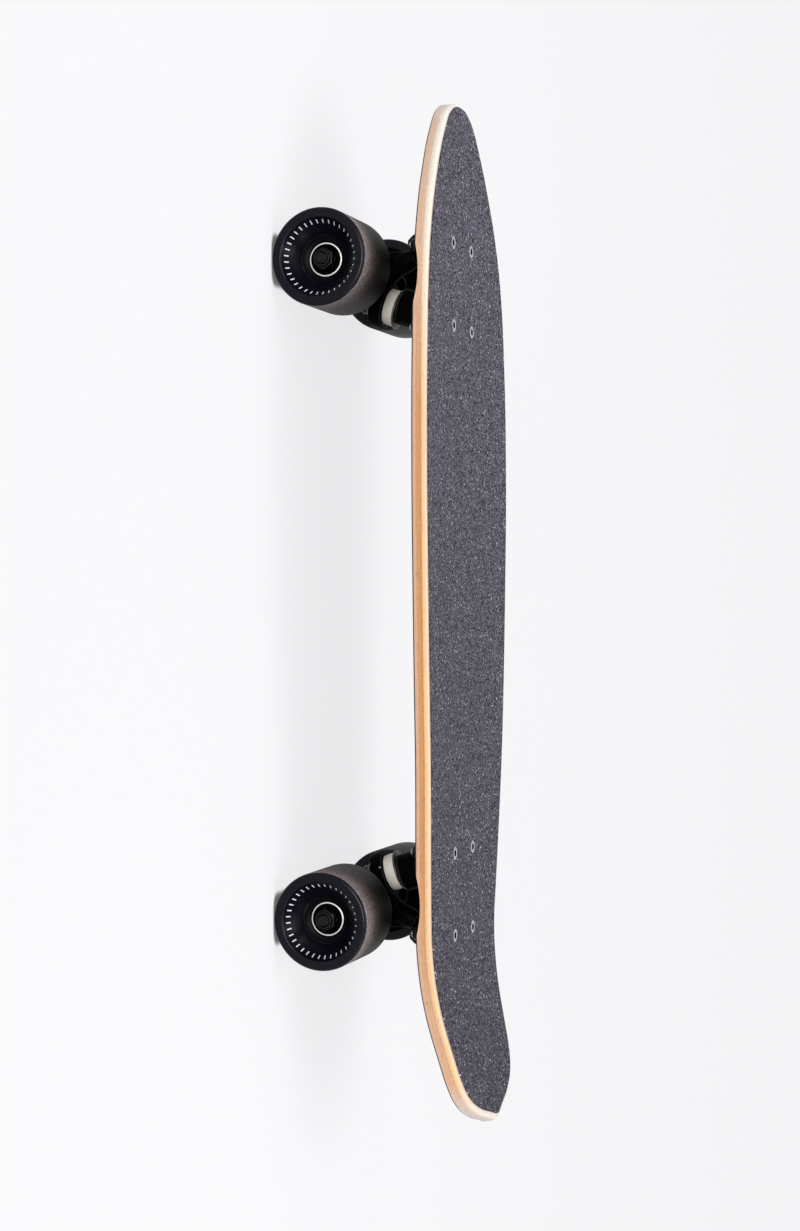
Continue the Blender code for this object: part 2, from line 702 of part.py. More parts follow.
def make_baseplate(looks):
    """The plate with its two bosses. Holes for four bolts, the kingpin and its head, and the pivot cup."""
    half_x, half_y = PLATE_LENGTH / 2, PLATE_WIDTH / 2
    plate = box("baseplate", (-half_x, -half_y, -PLATE_THICKNESS - GAP), (half_x, half_y, -GAP))
    bm = bmesh.new()
    bm.from_mesh(plate.data)
    corners = [e for e in bm.edges if abs(e.verts[0].co.z - e.verts[1].co.z) > PLATE_THICKNESS / 2]
    bmesh.ops.bevel(bm, geom=corners, offset=PLATE_CORNER, segments=4, affect="EDGES", profile=0.5)
    bm.to_mesh(plate.data)
    bm.free()
    bevel(plate, PLATE_EDGE, angle=60)

    boss = cone(
        "kingpin_boss", BOSS_RADIUS, BOSS_RADIUS + BOSS_FLARE, BOSS_FACE, 0, PIN_SIDES, CUTTERS_NAME
    )
    bevel(boss, PLATE_EDGE, angle=60)
    at(KINGPIN_FRAME @ Matrix.Translation((BOSS_OFFSET, 0, 0)), boss)
    pivot_boss_top = -PIVOT_Z / math.cos(PIVOT_TILT)
    profile = [
        (0, pivot_boss_top),
        (PIVOT_BOSS_RADIUS + PIVOT_BOSS_FLARE, pivot_boss_top),
        (PIVOT_BOSS_RADIUS, -PIVOT_BOSS_SHOULDER),
        (PIVOT_BOSS_RADIUS - PIVOT_BOSS_NARROWING, -PIVOT_BOSS_END),
        (0, -PIVOT_BOSS_END),
    ]
    pivot_boss = turned("pivot_boss", profile, PIN_SIDES, collection=CUTTERS_NAME)
    bevel(pivot_boss, PLATE_EDGE, angle=60)
    at(PIVOT_FRAME, pivot_boss)
    rib = cutter_box(
        "plate_rib",
        Matrix(),
        (KINGPIN_X, -PLATE_RIB_HALF_WIDTH, -PLATE_RIB_DEPTH),
        (PIVOT_X, PLATE_RIB_HALF_WIDTH, -PLATE_THICKNESS / 2),
    )
    join(plate, boss, pivot_boss, rib)

    wide = 2 * PLATE_LENGTH
    above = cutter_box("above_plate", Matrix(), (-wide, -wide, -GAP), (wide, wide, wide))
    pin = KINGPIN_RADIUS + GAP
    kingpin_hole = cutter_cone(
        "kingpin_hole", KINGPIN_FRAME, pin, pin, 2 * BOSS_FACE, PLATE_LENGTH, PIN_SIDES
    )
    head = KINGPIN_HEAD_RADIUS + GAP
    head_floor = KINGPIN_TOP - KINGPIN_HEAD_HEIGHT - GAP
    head_hole = cutter_cone(
        "kingpin_head_hole", KINGPIN_FRAME, head, head, head_floor, PLATE_LENGTH, PIN_SIDES
    )
    cup = CUP_RADIUS + GAP
    cup_hole = cutter_cone(
        "cup_hole", PIVOT_FRAME, cup, cup, -2 * PIVOT_BOSS_END, CUP_TOP + GAP, PIN_SIDES
    )
    hole = BOLT_RADIUS + GAP
    holes = [
        cutter_cone(
            f"plate_hole_{sx}_{sy}",
            Matrix.Translation((sx * BOLT_SPACING_X / 2, sy * BOLT_SPACING_Y / 2, 0)),
            hole,
            hole,
            -2 * PLATE_THICKNESS,
            PLATE_THICKNESS,
            SMALL_SIDES,
        )
        for sx in (-1, 1)
        for sy in (-1, 1)
    ]
    return finish(cut(plate, above, kingpin_hole, head_hole, cup_hole, *holes), looks["casting"])


def make_kingpin(looks):
    """In the kingpin's frame: a headed pin with a chamfered end."""
    head_bottom = KINGPIN_TOP - KINGPIN_HEAD_HEIGHT
    profile = [
        (0, KINGPIN_TOP),
        (KINGPIN_HEAD_RADIUS, KINGPIN_TOP),
        (KINGPIN_HEAD_RADIUS, head_bottom),
        (KINGPIN_RADIUS, head_bottom),
        (KINGPIN_RADIUS, KINGPIN_BOTTOM + AXLE_CHAMFER),
        (KINGPIN_RADIUS - AXLE_CHAMFER, KINGPIN_BOTTOM),
        (0, KINGPIN_BOTTOM),
    ]
    return finish(turned("kingpin", profile, PIN_SIDES), looks["black_steel"])


def make_kingpin_nut(looks):
    corner = hex_corner(KINGPIN_NUT_FLATS)
    bottom = KINGPIN_NUT_TOP - KINGPIN_NUT_HEIGHT
    nut = cone("kingpin_nut", corner, corner, bottom, KINGPIN_NUT_TOP, 6)
    hole = KINGPIN_RADIUS + GAP
    bore = cutter_cone("kingpin_nut_bore", Matrix(), hole, hole, 2 * bottom, 0, PIN_SIDES)
    return finish(cut(nut, bore), looks["black_steel"])


def make_upper_washer(looks):
    """A dished washer whose lip reaches down round the upper bushing."""
    plate_bottom = UPPER_WASHER_TOP - CUP_WASHER_THICKNESS
    lip_inner = UPPER_BUSHING_RADIUS + GAP
    lip_outer = lip_inner + CUP_WASHER_WALL
    profile = [
        (lip_outer, UPPER_WASHER_TOP),
        (lip_outer, plate_bottom - CUP_WASHER_LIP),
        (lip_inner, plate_bottom - CUP_WASHER_LIP),
        (lip_inner, plate_bottom),
        (KINGPIN_RADIUS + GAP, plate_bottom),
        (KINGPIN_RADIUS + GAP, UPPER_WASHER_TOP),
    ]
    return finish(turned("upper_cup_washer", profile, PIN_SIDES, closed=True), looks["black_steel"])


def make_lower_washer(looks):
    bottom = LOWER_WASHER_TOP - CUP_WASHER_THICKNESS
    hole = KINGPIN_RADIUS + GAP
    washer = ring("lower_cup_washer", hole, LOWER_WASHER_RADIUS, bottom, LOWER_WASHER_TOP, PIN_SIDES)
    return finish(washer, looks["black_steel"])


def make_upper_bushing(looks):
    """A barrel with eased edges."""
    bottom = UPPER_BUSHING_TOP - UPPER_BUSHING_HEIGHT
    ease = CUP_WASHER_LIP
    hole = KINGPIN_RADIUS + GAP
    profile = [
        (UPPER_BUSHING_RADIUS - ease, UPPER_BUSHING_TOP),
        (UPPER_BUSHING_RADIUS, UPPER_BUSHING_TOP - ease),
        (UPPER_BUSHING_RADIUS, bottom + ease),
        (UPPER_BUSHING_RADIUS - ease, bottom),
        (hole, bottom),
        (hole, UPPER_BUSHING_TOP),
    ]
    return finish(turned("upper_bushing", profile, PIN_SIDES, closed=True), looks["cream"])


def make_lower_bushing(looks):
    """A cylinder inside its seat, and a cone from there down to the lower washer."""
    bottom = LOWER_BUSHING_TOP - LOWER_BUSHING_HEIGHT
    hole = KINGPIN_RADIUS + GAP
    profile = [
        (LOWER_BUSHING_RADIUS, LOWER_BUSHING_TOP),
        (LOWER_BUSHING_RADIUS, RING_BOTTOM - GAP),
        (LOWER_BUSHING_END_RADIUS, bottom),
        (hole, bottom),
        (hole, LOWER_BUSHING_TOP),
    ]
    return finish(turned("lower_bushing", profile, PIN_SIDES, closed=True), looks["black_urethane"])


def make_pivot_cup(looks):
    """In the pivot's frame: a blind cup with a round socket for the ball and a mouth that widens."""
    socket = SOCKET_RADIUS
    profile = [
        (0, CUP_TOP),
        (CUP_RADIUS, CUP_TOP),
        (CUP_RADIUS, -CUP_MOUTH),
        (socket + CUP_MOUTH_FLARE, -CUP_MOUTH),
        *[(socket * math.cos(a), socket * math.sin(a)) for a in map(math.radians, BALL_ARC)],
        (0, socket),
    ]
    return finish(turned("pivot_cup", profile, PIN_SIDES), looks["cup"])


def hanger_tube():
    """The arms, turned about the axle: thick in the middle, thinner at the wheels.

    The mesh moves to the truck's frame, so that the hanger's own frame is the truck's.
    """
    half = HANGER_HALF_WIDTH
    arm_y = WHEEL_INNER_Y - ARM_TO_WHEEL
    one_side = [
        (0, half),
        (HANGER_END_RADIUS, half),
        (HANGER_END_RADIUS, arm_y + ARM_STEP),
        (HANGER_ARM_RADIUS, arm_y),
        (HANGER_MIDDLE_RADIUS, RING_RADIUS),
    ]
    other_side = [(radius, -y) for radius, y in reversed(one_side)]
    tube = turned("hanger", one_side + other_side, PIN_SIDES)
    tube.data.transform(AXLE_FRAME)
    return tube


def hanger_fin():
    """The middle web that runs from the axle and the ring up to the neck."""
    root = PIVOT_FRAME @ Vector((0, 0, -NECK_TAPER_END))
    axle = Vector((AXLE_X, 0, -TRUCK_HEIGHT))
    stretches = ((axle, FIN_UP_FROM_AXLE), (root, FIN_ROUND_NECK_ROOT), (axle, FIN_DOWN_TO_AXLE))
    outline = [(start.x + dx, start.z + dz) for start, offsets in stretches for dx, dz in offsets]
    curve = bpy.data.curves.new("hanger_fin", "CURVE")
    curve.dimensions = "2D"
    curve.fill_mode = "BOTH"
    curve.extrude = FIN_HALF_THICKNESS
    spline = curve.splines.new("POLY")
    spline.use_cyclic_u = True
    spline.points.add(len(outline) - 1)
    for point, (x, z) in zip(spline.points, outline):
        point.co = (x, z, 0, 1)
    source = add_object("hanger_fin_outline", curve, CUTTERS_NAME)
    bpy.context.view_layer.update()
    graph = bpy.context.evaluated_depsgraph_get()
    mesh = bpy.data.meshes.new_from_object(source.evaluated_get(graph))
    bpy.data.objects.remove(source)
    fin = object_from_bmesh("hanger_fin", weld_caps(mesh), CUTTERS_NAME)
    return at(SIDEWAYS, bevel(fin, FIN_EDGE, angle=60))


def hanger_gusset():
    """The triangle between the arms and the fin: a block that narrows upwards and leans outwards."""
    half_thick = GUSSET_THICKNESS / 2
    wide = WHEEL_INNER_Y - ARM_TO_WHEEL
    bm = bmesh.new()
    bmesh.ops.create_cube(bm, size=1)
    for vert in bm.verts:
        top = vert.co.z > 0
        x = (GUSSET_TOP_X if top else AXLE_X) + math.copysign(half_thick, vert.co.x)
        y = math.copysign(GUSSET_TOP_HALF if top else wide, vert.co.y)
        vert.co = (x, y, GUSSET_TOP_Z if top else -TRUCK_HEIGHT)
    gusset = object_from_bmesh("hanger_gusset", bm, CUTTERS_NAME)
    return bevel(gusset, GUSSET_EDGE, segments=2, angle=30)


def hanger_neck():
    """In the pivot's frame: the round neck and the ball at its top."""
    arc = [
        (BALL_RADIUS * math.cos(a), BALL_RADIUS * math.sin(a))
        for a in map(math.radians, reversed(BALL_ARC))
    ]
    profile = [
        (0, BALL_RADIUS),
        *arc,
        (NECK_RADIUS, -NECK_TAPER_START),
        (NECK_ROOT_RADIUS, -NECK_TAPER_END),
        (NECK_ROOT_RADIUS, -NECK_LENGTH),
        (0, -NECK_LENGTH),
    ]
    return at(PIVOT_FRAME, turned("hanger_neck", profile, PIN_SIDES, collection=CUTTERS_NAME))


def make_hanger(looks):
    """The casting, cleared round the bushings, washers and kingpin nut, and bored for the axle."""
    hanger = join(hanger_tube(), hanger_gusset(), hanger_fin(), hanger_neck())
    below = 2 * KINGPIN_BOTTOM
    washer_side = UPPER_SEAT_RADIUS
    washer_half = LOWER_BUSHING_RADIUS + SWING_ROOM
    washer_bottom = KINGPIN_NUT_TOP + GAP
    washer_room = cutter_box(
        "washer_room",
        KINGPIN_FRAME,
        (-PLATE_LENGTH, -washer_half, washer_bottom),
        (washer_side, washer_half, RING_BOTTOM + SEAT_DEPTH / 2),
    )
    nut_side = hex_corner(KINGPIN_NUT_FLATS) + NUT_ROOM
    nut_room = cutter_box(
        "nut_room",
        KINGPIN_FRAME,
        (-PLATE_LENGTH, -washer_half, below),
        (nut_side, washer_half, washer_bottom + GAP),
    )
    cut(hanger, washer_room, nut_room)

    collar = cone(
        "hanger_ring", RING_RADIUS, RING_RADIUS, RING_BOTTOM, RING_TOP, WHEEL_SIDES, CUTTERS_NAME
    )
    join(hanger, at(KINGPIN_FRAME, bevel(collar, RING_EDGE, angle=60)))

    upper, lower = UPPER_SEAT_RADIUS, LOWER_SEAT_RADIUS
    hole = KINGPIN_RADIUS + RING_HOLE_CLEARANCE
    upper_seat = cutter_cone("upper_seat", KINGPIN_FRAME, upper, upper, UPPER_SEAT, BOSS_FACE, PIN_SIDES)
    lower_seat = cutter_cone(
        "lower_seat", KINGPIN_FRAME, lower, lower, RING_BOTTOM - SEAT_DEPTH / 2, LOWER_SEAT, PIN_SIDES
    )
    ring_hole = cutter_cone(
        "ring_hole", KINGPIN_FRAME, hole, hole, RING_BOTTOM - SEAT_DEPTH, BOSS_FACE, PIN_SIDES
    )
    bore = AXLE_RADIUS + GAP
    axle_bore = cutter_cone(
        "axle_bore", AXLE_FRAME, bore, bore, -2 * HANGER_HALF_WIDTH, 2 * HANGER_HALF_WIDTH, PIN_SIDES
    )
    return finish(cut(hanger, upper_seat, lower_seat, ring_hole, axle_bore), looks["casting"])


def make_axle(looks):
    """In the axle's frame: a rod with chamfered ends."""
    half = AXLE_HALF_LENGTH
    one_side = [(0, half), (AXLE_RADIUS - AXLE_CHAMFER, half), (AXLE_RADIUS, half - AXLE_CHAMFER)]
    other_side = [(radius, -y) for radius, y in reversed(one_side)]
    return finish(turned("axle", one_side + other_side, PIN_SIDES), looks["steel"])


# Wheel pieces, each turned about Z with +Z away from the truck


def wheel_face():
    """The outboard half of the wheel's profile, from the bore out to the tread."""
    tread = WHEEL_RADIUS / math.cos(math.pi / WHEEL_SIDES)
    half = WHEEL_WIDTH / 2
    land = BEARING_SPACING / 2 - GAP
    hub = BEARING_SPACING / 2 + BEARING_WIDTH + GAP
    seat = BEARING_SEAT_RADIUS
    e = WHEEL_LIP_ROUND
    lip = [
        (tread - e + e * math.sin(a), half - e + e * math.cos(a)) for a in map(math.radians, (0, 45, 90))
    ]
    dish = [(seat + CORE_LIP, hub), (DISH_RADIUS, half - DISH_DEPTH), (WHEEL_LIP_RADIUS, half)]
    return [(BEARING_RADIUS - CORE_LAND, land), (seat, land), (seat, hub), *dish, *lip]


def make_wheel(looks):
    """It is turned by half a facet, so that the board stands on flats, which touch the true radius."""
    outboard = wheel_face()
    inboard = [(radius, -z) for radius, z in reversed(outboard)]
    wheel = turned("wheel", outboard + inboard, WHEEL_SIDES, closed=True)
    half_facet = math.pi / WHEEL_SIDES
    wheel.data.transform(Matrix.Rotation(half_facet, 4, "Z"))
    return finish(wheel, looks["wheel"])


def make_bearing(looks):
    half = BEARING_WIDTH / 2
    bore = AXLE_RADIUS + GAP
    return finish(ring("bearing", bore, BEARING_RADIUS, -half, half, PIN_SIDES), looks["steel"])


def make_speed_washer(looks):
    """Its inboard face is at z = 0."""
    bore = AXLE_RADIUS + GAP
    washer = ring("speed_washer", bore, SPEED_WASHER_RADIUS, 0, SPEED_WASHER_THICKNESS, PIN_SIDES)
    return finish(washer, looks["steel"])


def make_axle_nut(looks):
    """A hexagon on a round washer face, whose inboard side is at z = 0."""
    corner = hex_corner(AXLE_NUT_FLATS)
    top = AXLE_NUT_FACE + AXLE_NUT_HEIGHT
    nut = cone("axle_nut", corner, corner, AXLE_NUT_FACE, top, 6)
    face = cone(
        "axle_nut_face",
        AXLE_NUT_FACE_RADIUS,
        AXLE_NUT_FACE_RADIUS,
        0,
        2 * AXLE_NUT_FACE,
        PIN_SIDES,
        CUTTERS_NAME,
    )
    hole = AXLE_RADIUS + GAP
    bore = cutter_cone("axle_nut_bore", Matrix(), hole, hole, -top, 2 * top, PIN_SIDES)
    return finish(cut(join(nut, face), bore), looks["black_steel"])


# Assembly


def make_truck_pieces(looks):
    """One of each piece that the two trucks share, with the frame that it is placed in."""
    fixed = {
        "baseplate": (make_baseplate(looks), Matrix()),
        "pivot_cup": (make_pivot_cup(looks), PIVOT_FRAME),
        "kingpin": (make_kingpin(looks), KINGPIN_FRAME),
        "kingpin_nut": (make_kingpin_nut(looks), KINGPIN_FRAME),
        "upper_cup_washer": (make_upper_washer(looks), KINGPIN_FRAME),
        "lower_cup_washer": (make_lower_washer(looks), KINGPIN_FRAME),
        "upper_bushing": (make_upper_bushing(looks), KINGPIN_FRAME),
        "lower_bushing": (make_lower_bushing(looks), KINGPIN_FRAME),
    }
    steered = {
        "hanger": (make_hanger(looks), Matrix()),
        "axle": (make_axle(looks), AXLE_FRAME),
    }
    bearing = make_bearing(looks)
    bearing_middle = (BEARING_SPACING + BEARING_WIDTH) / 2
    rolling = {
        "wheel": (make_wheel(looks), 0),
        "outer_bearing": (bearing, bearing_middle),
        "inner_bearing": (bearing, -bearing_middle),
    }
    on_axle = {
        "speed_washer": (make_speed_washer(looks), HANGER_HALF_WIDTH + GAP - WHEEL_Y),
        "axle_nut": (make_axle_nut(looks), AXLE_NUT_Y - WHEEL_Y),
    }
    return fixed, steered, rolling, on_axle


def place_truck(name, x, turn, pieces):
    """Copies the shared pieces to a truck: some stay with the board, some steer and some also roll."""
    fixed, steered, rolling, on_axle = pieces
    place = Matrix.Translation((x, 0, DECK_UNDERSIDE_Z)) @ Matrix.Rotation(turn, 4, "Z")
    truck = empty(name + "_truck", None, place)
    steering = empty(name + "_steering_axis", truck, steering_frame())
    to_steering = steering_frame().inverted()
    for piece, (source, frame) in fixed.items():
        copy_of(source, f"{name}_{piece}", truck, frame)
    for piece, (source, frame) in steered.items():
        copy_of(source, f"{name}_{piece}", steering, to_steering @ frame)
    for side, away in (("left", 1), ("right", -1)):
        toward = away if turn == 0 else -away
        outward = Matrix.Rotation(-toward * math.pi / 2, 4, "X")
        end = Matrix.Translation((AXLE_X, toward * WHEEL_Y, -TRUCK_HEIGHT)) @ outward
        hub = empty(f"{name}_{side}_axle_end", steering, to_steering @ end)
        for piece, (source, along) in (rolling | on_axle).items():
            copy_of(source, f"{name}_{side}_{piece}", hub, Matrix.Translation((0, 0, along)))


def main():
    clear_scene()
    looks = make_materials()
    make_deck(looks)
    make_griptape(looks)
    pieces = make_truck_pieces(looks)
    for name, side, turn in (("front", 1, 0), ("rear", -1, math.pi)):
        place_truck(name, TRUCK_MIDDLE_X + side * WHEELBASE / 2, turn, pieces)
    for source in {source for group in pieces for source, _ in group.values()}:
        bpy.data.objects.remove(source)
    make_deck_hardware(looks, DECK_UNDERSIDE_Z - GAP - PLATE_THICKNESS)


main()
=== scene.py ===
"""Looks of a cruiser skateboard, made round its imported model, which fixes every size and place.

Each CAD node is stood for by a finer piece of the same shape in the same place: a seven-ply deck, grit,
smooth castings, turned wheels with their cores, bearings with races and shields, threads and chamfered
nuts. Sizes are in metres. +X points to the nose, +Y to the left and +Z up. A truck's own frame has its
origin in the middle of its four bolts on the deck's underside, and its +X away from the other truck.
"""

import json
import math
from functools import reduce

import bmesh
import bpy
from mathutils import Matrix, Vector


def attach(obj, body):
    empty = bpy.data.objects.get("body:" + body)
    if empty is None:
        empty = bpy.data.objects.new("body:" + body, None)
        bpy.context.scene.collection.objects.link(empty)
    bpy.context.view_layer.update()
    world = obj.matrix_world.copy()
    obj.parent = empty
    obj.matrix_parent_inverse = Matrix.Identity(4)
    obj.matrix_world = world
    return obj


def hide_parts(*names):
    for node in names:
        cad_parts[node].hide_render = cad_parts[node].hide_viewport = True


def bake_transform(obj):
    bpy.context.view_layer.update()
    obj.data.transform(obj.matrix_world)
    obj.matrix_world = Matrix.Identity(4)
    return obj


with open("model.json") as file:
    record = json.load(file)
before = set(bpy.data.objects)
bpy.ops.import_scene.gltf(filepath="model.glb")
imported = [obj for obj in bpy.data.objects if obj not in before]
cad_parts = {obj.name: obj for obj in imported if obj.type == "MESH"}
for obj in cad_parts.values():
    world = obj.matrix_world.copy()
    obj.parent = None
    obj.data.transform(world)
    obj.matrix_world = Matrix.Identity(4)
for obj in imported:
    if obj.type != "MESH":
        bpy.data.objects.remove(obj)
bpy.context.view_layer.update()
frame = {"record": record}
BODY_OF = {n: body for body, nodes in frame["record"]["behaviour"]["bodies"].items() for n in nodes}

# Photograph and camera, whose picture is turned so that the nose points up
PHOTO_LONG_SIDE = 1231
FOCAL_PIXELS = 2223.6
SENSOR_MM = 36.0
CAMERA_PLACE = Vector((0.00979, 1.4166, 0.51935))
CAMERA_YAW = math.radians(-0.465)
CAMERA_PITCH = math.radians(18.149)

# Room between pieces, and how far a cutter runs past what it cuts
GAP = 0.0003
CUTTER_EXTRA = 0.002

# Deck
DECK_LENGTH = 0.6710
DECK_WIDTH = 0.1890
DECK_MIDDLE_X = 0.00078
WOOD_THICKNESS = 0.0099
TOP_ROUND = 0.0024
BOTTOM_ROUND = 0.0014
CONCAVE_RADIUS = 1.0
CAMBER_RADIUS = 54.0
KICK_ANGLE = math.radians(13.7)
KICK_RADIUS = 0.275
KICK_LEAD = 0.0089
CONCAVE_FADE_AHEAD = 0.124
CONCAVE_FADE_BEHIND = 0.075
COLUMN_SPACING = 0.0060
ROW_SPACING = 0.0090

# Half of the deck's outline, from the tail tip to the nose tip: the distance from the tail tip as a
# share of the length, and the half width as a share of half the width.
OUTLINE = (
    (0.0, 0.0),
    (0.0049, 0.130),
    (0.0161, 0.367),
    (0.0310, 0.535),
    (0.0481, 0.618),
    (0.0750, 0.670),
    (0.1793, 0.788),
    (0.3432, 0.898),
    (0.5221, 0.976),
    (0.6562, 1.0),
    (0.7531, 0.972),
    (0.8275, 0.909),
    (0.8723, 0.821),
    (0.9244, 0.644),
    (0.9692, 0.424),
    (0.9915, 0.249),
    (1.0, 0.0),
)
OUTLINE_STEPS = 12

# Griptape
GRIP_THICKNESS = 0.0007
GRIP_INSET = 0.0038
GRIP_NOSE_REACH = 0.0019
GRIP_NOSE_LENGTH = 0.030
GRIT_SIZE = 0.00075

# Wheel wells under the deck's edges
WELL_RADIUS = 0.080
WELL_DEPTH = 0.0033
WELL_LENGTH = 0.060
WELL_TILT = math.radians(11)

# Trucks
WHEELBASE = 0.400
TRUCK_MIDDLE_X = 0.0155
TRUCK_HEIGHT = 0.0570
AXLE_X = 0.0110
BOLT_SPACING_X = 0.0540
BOLT_SPACING_Y = 0.0413

# Deck bolts and their locknuts
BOLT_RADIUS = 0.0024
BOLT_PITCH = 0.0008
BOLT_HEAD_RADIUS = 0.0043
BOLT_HEAD_CONE = 0.0019
BOLT_HEAD_SINK = 0.0001
BOLT_HEAD_EDGE = 0.00015
BOLT_SOCKET_FLATS = 0.0040
BOLT_SOCKET_DEPTH = 0.0016
BOLT_END = 0.0015
BOLT_CHAMFER = 0.0005
LOCKNUT_FLATS = 0.0095
LOCKNUT_HEX = 0.0046
LOCKNUT_COLLAR = 0.0019
LOCKNUT_COLLAR_RADIUS = 0.0041

# Baseplate
PLATE_LENGTH = 0.0810
PLATE_WIDTH = 0.0570
PLATE_THICKNESS = 0.0105
PLATE_CORNER = 0.0090
BOSS_RADIUS = 0.0124
BOSS_FLARE = 0.0010
BOSS_OFFSET = 0.0025
PIVOT_BOSS_WALL = 0.0046
PIVOT_BOSS_FLARE = 0.0004
PIVOT_BOSS_SHOULDER = 0.0045
PIVOT_BOSS_END = 0.0090
PIVOT_BOSS_NARROWING = 0.0016
PLATE_RIB_HALF_WIDTH = 0.0050
PLATE_RIB_DEPTH = 0.0130

# Kingpin, and where its boss ends, measured down the kingpin from the deck
KINGPIN_X = -0.0228
KINGPIN_TILT = math.radians(17.5)
KINGPIN_RADIUS = 0.00475
KINGPIN_PITCH = 0.0012
KINGPIN_HEAD_RADIUS = 0.0076
KINGPIN_HEAD_HEIGHT = 0.0050
KINGPIN_END = 0.0022
KINGPIN_CHAMFER = 0.0008
BOSS_DROP = 0.0334
KINGPIN_NUT_FLATS = 0.0143
KINGPIN_NUT_HEIGHT = 0.0065

# Bushings and cup washers
UPPER_BUSHING_RADIUS = 0.0122
UPPER_BUSHING_HEIGHT = 0.0101
LOWER_BUSHING_RADIUS = 0.0120
LOWER_BUSHING_END_RADIUS = 0.0080
LOWER_BUSHING_HEIGHT = 0.0086
BUSHING_EDGE = 0.0010
CUP_WASHER_WALL = 0.0008
CUP_WASHER_THICKNESS = 0.0010
CUP_WASHER_LIP = 0.0006
CUP_WASHER_ROUND = 0.0007
LOWER_WASHER_RADIUS = 0.0094
WASHER_EDGE = 0.0003

# Hanger
RING_WALL = 0.0035
RING_EDGE = 0.0010
SEAT_DEPTH = 0.0032
SEAT_WEB = 0.0029
RING_HOLE_CLEARANCE = 0.0027
HANGER_HALF_WIDTH = 0.0536
HANGER_MIDDLE_RADIUS = 0.0102
HANGER_ARM_RADIUS = 0.0086
HANGER_END_RADIUS = 0.0074
ARM_TO_WHEEL = 0.0050
ARM_STEP = 0.0025
FIN_HALF_THICKNESS = 0.0040
FIN_EDGE = 0.0016
GUSSET_TOP_HALF = 0.0100
GUSSET_TOP_Z = -0.0360
GUSSET_TOP_X = 0.0175
GUSSET_THICKNESS = 0.0120
GUSSET_EDGE = 0.0032
NUT_ROOM = 0.0020
SWING_ROOM = 0.0030

# Outline of the hanger's middle fin, as offsets along X and Z: from the axle up the pivot's side,
# round the root of the neck, and down the kingpin's side back to the axle.
FIN_UP_FROM_AXLE = ((0.0092, -0.0040), (0.0135, 0.0070), (0.0150, 0.0160))
FIN_ROUND_NECK_ROOT = ((0.0069, -0.0020), (0.0, 0.0020), (-0.0060, 0.0005), (-0.0151, -0.0095))
FIN_DOWN_TO_AXLE = ((-0.0120, 0.0120), (-0.0092, -0.0040))

# Pivot: the ball on the hanger's neck and the cup that it turns in
PIVOT_X = 0.0260
PIVOT_COVER = 0.00148
PIVOT_TILT = math.radians(24)
BALL_RADIUS = 0.0055
BALL_ROOM = 0.0006
NECK_RADIUS = 0.0053
NECK_ROOT_RADIUS = 0.0072
NECK_TAPER_START = 0.0070
NECK_TAPER_END = 0.0170
NECK_LENGTH = 0.0270
CUP_WALL = 0.0029
CUP_END_WALL = 0.0025
CUP_MOUTH = 0.0065
CUP_MOUTH_FLARE = 0.0011

# Castings: the size of the cells that their joined shapes are smoothed on
CASTING_CELL = 0.0005
CASTING_SMOOTHING = 6

# Wheels
WHEEL_RADIUS = 0.0315
WHEEL_WIDTH = 0.0530
WHEEL_LIP_ROUND = 0.0025
WHEEL_LIP_RADIUS = 0.0255
WHEEL_LIP_EDGE = 0.0010
DISH_SWELL = (0.0205, 0.0185)
CORE_RADIUS = 0.0152
CORE_STEP = 0.0005
CORE_RISE = 0.0012
CORE_EDGE = 0.0002
CORE_LIP_RADIUS = 0.0135
CORE_LAND = 0.0020

# Bearings
BEARING_RADIUS = 0.0110
BEARING_WIDTH = 0.0070
BEARING_SPACING = 0.0100
OUTER_RACE_INSIDE = 0.0100
INNER_RACE_OUTSIDE = 0.0061
RACE_EDGE = 0.0003
SHIELD_SINK = 0.0003

# Axles, speed washers and axle nuts
AXLE_RADIUS = 0.0040
AXLE_PITCH = 0.0010
AXLE_CHAMFER = 0.0008
AXLE_END = 0.0015
SPEED_WASHER_RADIUS = 0.0058
SPEED_WASHER_THICKNESS = 0.0008
AXLE_NUT_FLATS = 0.0127
AXLE_NUT_HEIGHT = 0.0072
AXLE_NUT_COLLAR = 0.0022
AXLE_NUT_COLLAR_RADIUS = 0.0057
AXLE_NUT_FACE = 0.0010
AXLE_NUT_FACE_RADIUS = 0.0060

# Nuts and threads: the round of a nut's faces as a share of its flats, its chamfer, the eased edge of its
# bore, and a thread's depth as a share of its pitch
NUT_CIRCLE = 0.955
NUT_CHAMFER = math.radians(30)
NUT_EASE = 0.0003
THREAD_DEPTH = 0.55

# How finely pieces are drawn, and how near each other points count as one, or as level
WHEEL_SIDES = 144
ROUND_SIDES = 72
THREAD_STEPS = 6
SMOOTH_ANGLE = math.radians(32)
FLAT_ANGLE = math.radians(0.1)
DISH_STEPS = 14
BEND_STEP = 0.0008
SAME_POINT = 1e-7
SAME_LEVEL = 1e-6
CAP_WELD = 0.00001

# Wood: where it turns to stain and to cross grain, by share of its depth, its colours down through the
# plies, and how much and where along X it pales near each end, as a painted highlight of the light there
PLY_ATTRIBUTE = "ply"
STAIN_START = 0.985
STAIN_EDGE = 0.885
STAIN_FADE = 0.012
STAIN_FACING = -0.9
CROSS_PLIES = ((0.285, 0.305, 0.430, 0.450), (0.570, 0.595, 0.700, 0.725))
PLY_COLOURS = (
    (0.00, (243, 212, 182)),
    (0.13, (229, 187, 141)),
    (0.28, (243, 194, 142)),
    (0.34, (207, 141, 86)),
    (0.48, (216, 153, 96)),
    (0.62, (218, 158, 104)),
    (0.74, (236, 185, 145)),
    (1.00, (208, 184, 174)),
)
# painted highlight: how far the plies pale near the nose and the tail, by depth, and at the tips
NOSE_PAINTED_HIGHLIGHT = ((0.00, 0.78), (0.38, 0.85), (0.43, 0.45), (0.60, 0.42), (0.76, 0.15))
TAIL_PAINTED_HIGHLIGHT = ((0.28, 0.0), (0.33, 0.22), (0.60, 0.20), (0.75, 0.05))
